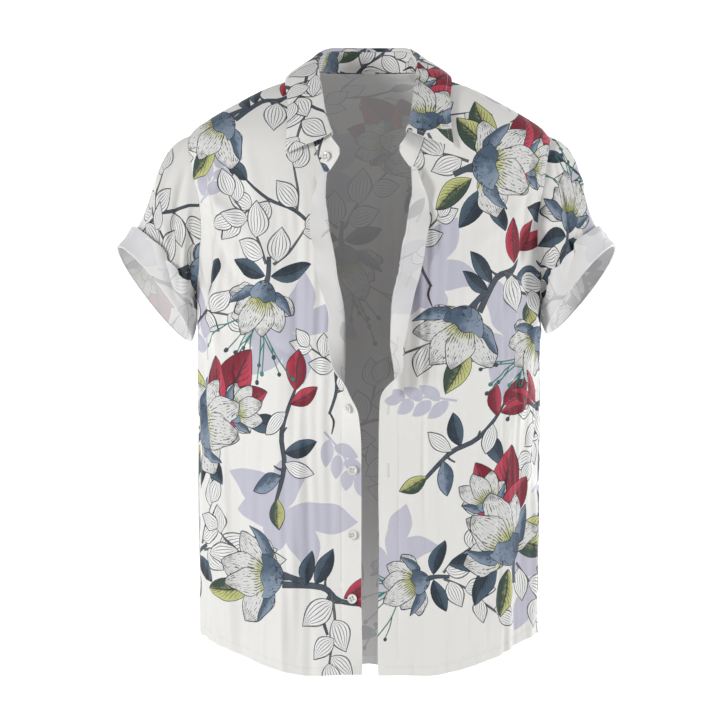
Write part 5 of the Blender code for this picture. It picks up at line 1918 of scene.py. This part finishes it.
def sew_body():
    """Stitches along the hems, front edges and shoulders, the edges on both faces."""
    for side in SIGN:
        place = front_place(side)
        normals = difference_normals(place, -1.0 if side == "right" else 1.0)
        under = difference_normals(place, 1.0 if side == "right" else -1.0)
        threads = Collector()
        seams = front_seams(side)
        for path in seams:
            stitch_row(threads, place, normals, path)
        stitch_row(threads, place, under, seams[1], lift=CLOTH)
        threads.finish("front_" + side + "_stitches", CLOTH_SLOT, THREAD)
    threads = Collector()
    for path in back_seams():
        stitch_row(threads, back_place, difference_normals(back_place, -1.0), path, lift=-SEWN_DEPTH)
    threads.finish("back_stitches", CLOTH_SLOT, THREAD)


def sew_collar():
    """Two stitched lines: near the leaf's free edge and near the stand's lower edge."""
    for name, slot, grid in (
        ("collar_leaf", CLOTH_SLOT, leaf_grid()), ("collar_stand", COLLAR_SLOT, stand_grid()),
    ):
        ways, tall, place, facing = flat_collar(grid)
        xs = np.linspace(ways[0] + COLLAR_STITCH, ways[-1] - COLLAR_STITCH, 400)
        path = np.stack([xs, np.full(400, STAND_STITCH)], -1)
        if name == "collar_leaf":
            high = np.interp(xs, ways, tall) - COLLAR_STITCH
            end = np.linspace(0.006, high[0], 30)[:-1]
            first, last = np.full(29, xs[0]), np.full(29, xs[-1])
            path = np.concatenate([
                np.stack([first, end], -1), np.stack([xs, high], -1), np.stack([last, end[::-1]], -1),
            ])
        threads = Collector()
        stitch_row(threads, place, facing, path)
        threads.finish(name + "_stitches", slot, THREAD)


def circle(radius, sides, x=0.0, y=0.0, shift=0.0):
    """Flat points round a centre."""
    turns = np.linspace(0, 2 * math.pi, sides + 1)[:-1] + shift
    return [Vector((x + radius * math.cos(a), y + radius * math.sin(a))) for a in turns]


def lathe_button(collector, place, axis, across):
    """A four-hole button with a raised rim: its top, bottom, edge and the walls of its holes."""
    verts, faces = circle(BUTTON_RADIUS, BUTTON_SIDES), [list(range(BUTTON_SIDES))]
    holes = [(x * HOLE_PLACE, y * HOLE_PLACE) for x, y in ((1, 1), (-1, 1), (-1, -1), (1, -1))]
    for x, y in holes:
        faces.append(list(range(len(verts), len(verts) + HOLE_SIDES)))
        verts += circle(HOLE_RADIUS, HOLE_SIDES, x, y)
    for k, (share, _) in enumerate(BUTTON_RINGS[:-1]):
        for p in circle(BUTTON_RADIUS * share, BUTTON_SIDES, shift=0.04 * k):
            if all((p - Vector(hole)).length > HOLE_RADIUS * 1.25 for hole in holes):
                verts.append(p)
    points, _, triangles, _, _, origins = delaunay_2d_cdt(verts, [], faces, 1, 1e-7, True)
    triangles = [tuple(t) for t, o in zip(triangles, origins) if list(o) == [0]]
    flat = np.array([tuple(p) for p in points])
    if twice_area(flat[list(triangles[0])]) < 0:
        triangles = [t[::-1] for t in triangles]
    from_centre, other = np.hypot(flat[:, 0], flat[:, 1]), np.cross(axis, across)
    layers = []
    for profile in (BUTTON_RINGS, BUTTON_BOTTOM):
        shares, heights = zip(*profile)
        level = np.interp(from_centre, np.array(shares) * BUTTON_RADIUS, heights) * BUTTON_THICKNESS
        layers.append(place + flat[:, :1] * across + flat[:, 1:] * other + level[:, None] * axis)
    bottoms = [tuple(i + len(flat) for i in t[::-1]) for t in triangles]
    collector.add(np.concatenate(layers), triangles + bottoms + rim_faces(triangles, len(flat)))


def ring_faces(rings, sides):
    """The faces of a closed row of rings of points, with both its ends."""
    faces = []
    for k in range(rings - 1):
        for j in range(sides):
            p, q = k * sides + j, k * sides + (j + 1) % sides
            faces.append((p, q, q + sides, p + sides))
    return faces + [tuple(reversed(range(sides))), tuple(range((rings - 1) * sides, rings * sides))]


def tube(collector, points, radius, sides):
    """A round thread along points."""
    points = np.asarray(points, float)
    along = unit(np.gradient(points, axis=0))
    start = np.array([0.3, 0.1, 1.0]) if abs(along[0][2]) < 0.8 else np.array([1.0, 0.2, 0.1])
    verts = []
    for p, w in zip(points, along):
        side = unit(np.cross(w, start))
        other = np.cross(w, side)
        turns = np.linspace(0, 2 * math.pi, sides + 1)[:-1]
        verts += [p + (side * math.cos(a) + other * math.sin(a)) * radius for a in turns]
    collector.add(verts, ring_faces(len(points), sides))


def sewn_button(name, cloth_place, axis, tilt):
    """A button held off the cloth by its thread; cloth_place is on the cloth's face."""
    axis = unit(axis)
    level = unit(np.cross(axis, [0.0, 0.0, 1.0]))
    c, s = math.cos(math.radians(tilt)), math.sin(math.radians(tilt))
    across = level * c + np.cross(axis, level) * s
    other = np.cross(axis, level) * c - level * s
    place = cloth_place + axis * BUTTON_GAP
    pearl = Collector()
    lathe_button(pearl, place, axis, across)
    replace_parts(pearl.finish(name + "_pearl", "pearl_button", PEARL), name)
    threads = Collector()
    top = BUTTON_THICKNESS * 0.72 + 0.00035
    for sign in (1, -1):
        for shift in (-THREAD_SHIFT, THREAD_SHIFT):
            path = []
            for t in np.linspace(0, 1, 7):
                way = across * (HOLE_PLACE * (1 - 2 * t)) + other * (sign * HOLE_PLACE + shift)
                path.append(place + way + axis * (-0.0016 if t in (0.0, 1.0) else top))
            tube(threads, path, THREAD_RADIUS, 6)
    shank = [cloth_place - axis * 0.0006, cloth_place + axis * 0.0011, place + axis * 0.0004]
    tube(threads, shank, SHANK_RADIUS, 10)
    threads.finish(name + "_thread", "pearl_button", THREAD)


def front_button_places():
    """Where the wearer's right front carries its buttons: points on its printed face and axes."""

    def on_strip(over, z):
        return strip_point("right", np.array([over]), np.array([z]))[0]

    for number, z in enumerate(BUTTON_LEVELS, 1):
        over = float(ROLL["right"]["strip"](z)) - BUTTON_FROM_EDGE
        around = on_strip(over + STEP, z) - on_strip(over - STEP, z)
        up = on_strip(over, z + STEP) - on_strip(over, z - STEP)
        yield number, on_strip(over, z), unit(np.cross(around, up))


def build_buttons():
    """The wearer's right front's buttons, and the one on the stand."""
    for number, place, axis in front_button_places():
        sewn_button("button_%d" % number, place, axis, tilt=17.0 * number)
    points, normals = stand_grid()
    row, column = int(STAND_FINE * 0.37), round(COLLAR_FINE / 32)
    sewn_button("button_neck", points[row, column], normals[row, column], tilt=10.0)


def build_buttonholes():
    """Worked holes down the wearer's left front, on both faces of the cloth."""
    place = front_place("left")
    bars = []
    for z in BUTTON_LEVELS:
        y0 = float(height_of(z))
        edge = float(fold_round("left", np.array([z]))[0] - ROLL["left"]["strip"](z))
        x0 = edge + BUTTON_FROM_EDGE + 0.0015
        for k in range(HOLE_BARS):
            y = y0 - HOLE_LENGTH / 2 + HOLE_LENGTH * (k + 0.5) / HOLE_BARS
            bars += [(x0 + sign * 0.0003, x0 + sign * 0.0013, y) for sign in (-1.0, 1.0)]
        for end in (-0.0078, 0.0078):
            bars += [(x0 - 0.0014, x0 + 0.0014, y0 + end + shift) for shift in (-0.0003, 0.0003)]
    bars = np.array(bars)
    low, high = place(bars[:, 0], bars[:, 2]), place(bars[:, 1], bars[:, 2])
    ups = difference_normals(place, 1.0)(bars[:, :2].mean(axis=1), bars[:, 2])
    threads = Collector()
    for a, b, up in zip(low, high, ups):
        stitch(threads, a, b, up, 0.00055, 0.00035)
        stitch(threads, a - up * CLOTH, b - up * CLOTH, -up, 0.00055, 0.00035)
    threads.finish("buttonholes", CLOTH_SLOT, THREAD)


LABEL_WIDTH, LABEL_DROP, LABEL_COLUMNS, LABEL_TURN = 0.016, 0.0035, 9, 8


def build_label():
    """A small blank folded tape inside the back neck seam."""
    points, _ = stand_grid()
    _, back, seam = points[0, COLLAR_FINE // 2]
    near = back - WALL - 0.0020
    top, fold = seam + LABEL_DROP * 0.5, seam - LABEL_DROP * 0.5 + 0.0004
    profile = [(near - 0.001, top)]
    for a in np.linspace(0, math.pi, LABEL_TURN + 1):
        profile.append((near - 0.0005 - 0.0005 * math.cos(a), fold - 0.0004 * math.sin(a)))
    profile.append((near, top))
    verts = []
    for i in range(LABEL_COLUMNS):
        x = -LABEL_WIDTH / 2 + LABEL_WIDTH * i / (LABEL_COLUMNS - 1)
        sag = 0.0002 * math.sin(i * 1.1)
        verts += [(x, y + sag, z) for y, z in profile]
    tape = Collector()
    tape.add(verts, ring_faces(LABEL_COLUMNS, len(profile)))
    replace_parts(tape.finish("neck_label_tape", "tape", TAPE), "neck_label")


sew_body()
sew_collar()
build_buttons()
build_buttonholes()
build_label()

# ---------------------------------------------------------------------------------------------
# Stage, light and camera.


FLOOR, CURVE, WALL_FROM, STAGE_HALF = -0.86, 0.6, 0.9, 3.2


def build_stage():
    """A curved pale backdrop, well behind the shirt and below it, that only shows from its front."""
    profile = [(-2.6, FLOOR)]
    for a in np.radians(np.linspace(0, 90, 13)):
        profile.append((WALL_FROM + CURVE * math.sin(a), FLOOR + CURVE * (1 - math.cos(a))))
    profile.append((WALL_FROM + CURVE, 2.4))
    verts = [(x, y, z) for x in (-STAGE_HALF, STAGE_HALF) for y, z in profile]
    count = len(profile)
    faces = [(k + count, k + 1 + count, k + 1, k) for k in range(count - 1)]
    mesh = bpy.data.meshes.new("backdrop")
    mesh.from_pydata(verts, [], faces)
    mesh.shade_smooth()
    backdrop = bpy.data.objects.new("backdrop", mesh)
    bpy.context.collection.objects.link(backdrop)
    material = bpy.data.materials.new("backdrop")
    material.use_nodes = True
    tree = material.node_tree
    plain = tree.nodes["Principled BSDF"]
    plain.inputs["Base Color"].default_value = (0.93, 0.93, 0.93, 1.0)
    plain.inputs["Roughness"].default_value = 0.9
    behind = add_node(tree, "NewGeometry", output="Backfacing")
    both = tree.nodes.new("ShaderNodeMixShader")
    shown = (behind, Wire(tree, plain.outputs[0]), add_node(tree, "BsdfTransparent"))
    for value, socket in zip(shown, both.inputs):
        connect(tree, value, socket)
    tree.links.new(both.outputs[0], tree.nodes["Material Output"].inputs["Surface"])
    mesh.materials.append(material)


def area_light(name, place, target, size, power):
    """A rectangular light that the camera does not see."""
    data = bpy.data.lights.new(name, "AREA")
    data.shape = "RECTANGLE"
    data.size, data.size_y = size
    data.energy = power
    light = bpy.data.objects.new(name, data)
    bpy.context.collection.objects.link(light)
    light.location = place
    light.visible_camera = False
    light.rotation_euler = (Vector(target) - Vector(place)).to_track_quat("-Z", "Y").to_euler()


SKY = 0.29
LIGHTS = (  # name, place, what it faces, size, watts
    ("key", (-2.35, -2.5, 0.05), (0.0, 0.0, -0.35), (0.5, 1.1), 56.0),
    ("rim", (2.8, -0.35, 0.6), (0.0, 0.0, -0.3), (0.6, 1.2), 40.0),
    ("fill", (1.8, -2.4, 0.2), (0.0, 0.0, -0.4), (1.2, 1.6), 2.0),
    ("backdrop_left", (-1.2, 0.5, -0.2), (-1.2, 1.5, -0.2), (0.4, 1.2), 22.0),
    ("backdrop_right", (1.2, 0.5, -0.2), (1.2, 1.5, -0.2), (0.4, 1.2), 22.0),
)
CAMERA_PLACE, CAMERA_LENS, CAMERA_SENSOR = (-0.0108, -9.05, -0.3408), 375.0, 36.0


def build_light():
    """A pale sky, three lights for the shirt and two for the wall behind it."""
    world = bpy.data.worlds.new("studio")
    bpy.context.scene.world = world
    world.use_nodes = True
    shade = world.node_tree.nodes["Background"]
    shade.inputs["Color"].default_value = (1.0, 1.0, 1.0, 1.0)
    shade.inputs["Strength"].default_value = SKY
    for light in LIGHTS:
        area_light(*light)


def build_camera():
    """A long lens at the photograph's viewing angle."""
    data = bpy.data.cameras.new("camera")
    data.sensor_width, data.lens = CAMERA_SENSOR, CAMERA_LENS
    data.clip_end = 30.0
    camera = bpy.data.objects.new("camera", data)
    bpy.context.collection.objects.link(camera)
    camera.location = CAMERA_PLACE
    camera.rotation_euler = (math.radians(90), 0.0, 0.0)
    bpy.context.scene.camera = camera
    bpy.context.scene.view_settings.view_transform = "Standard"


build_stage()
build_light()
build_camera()
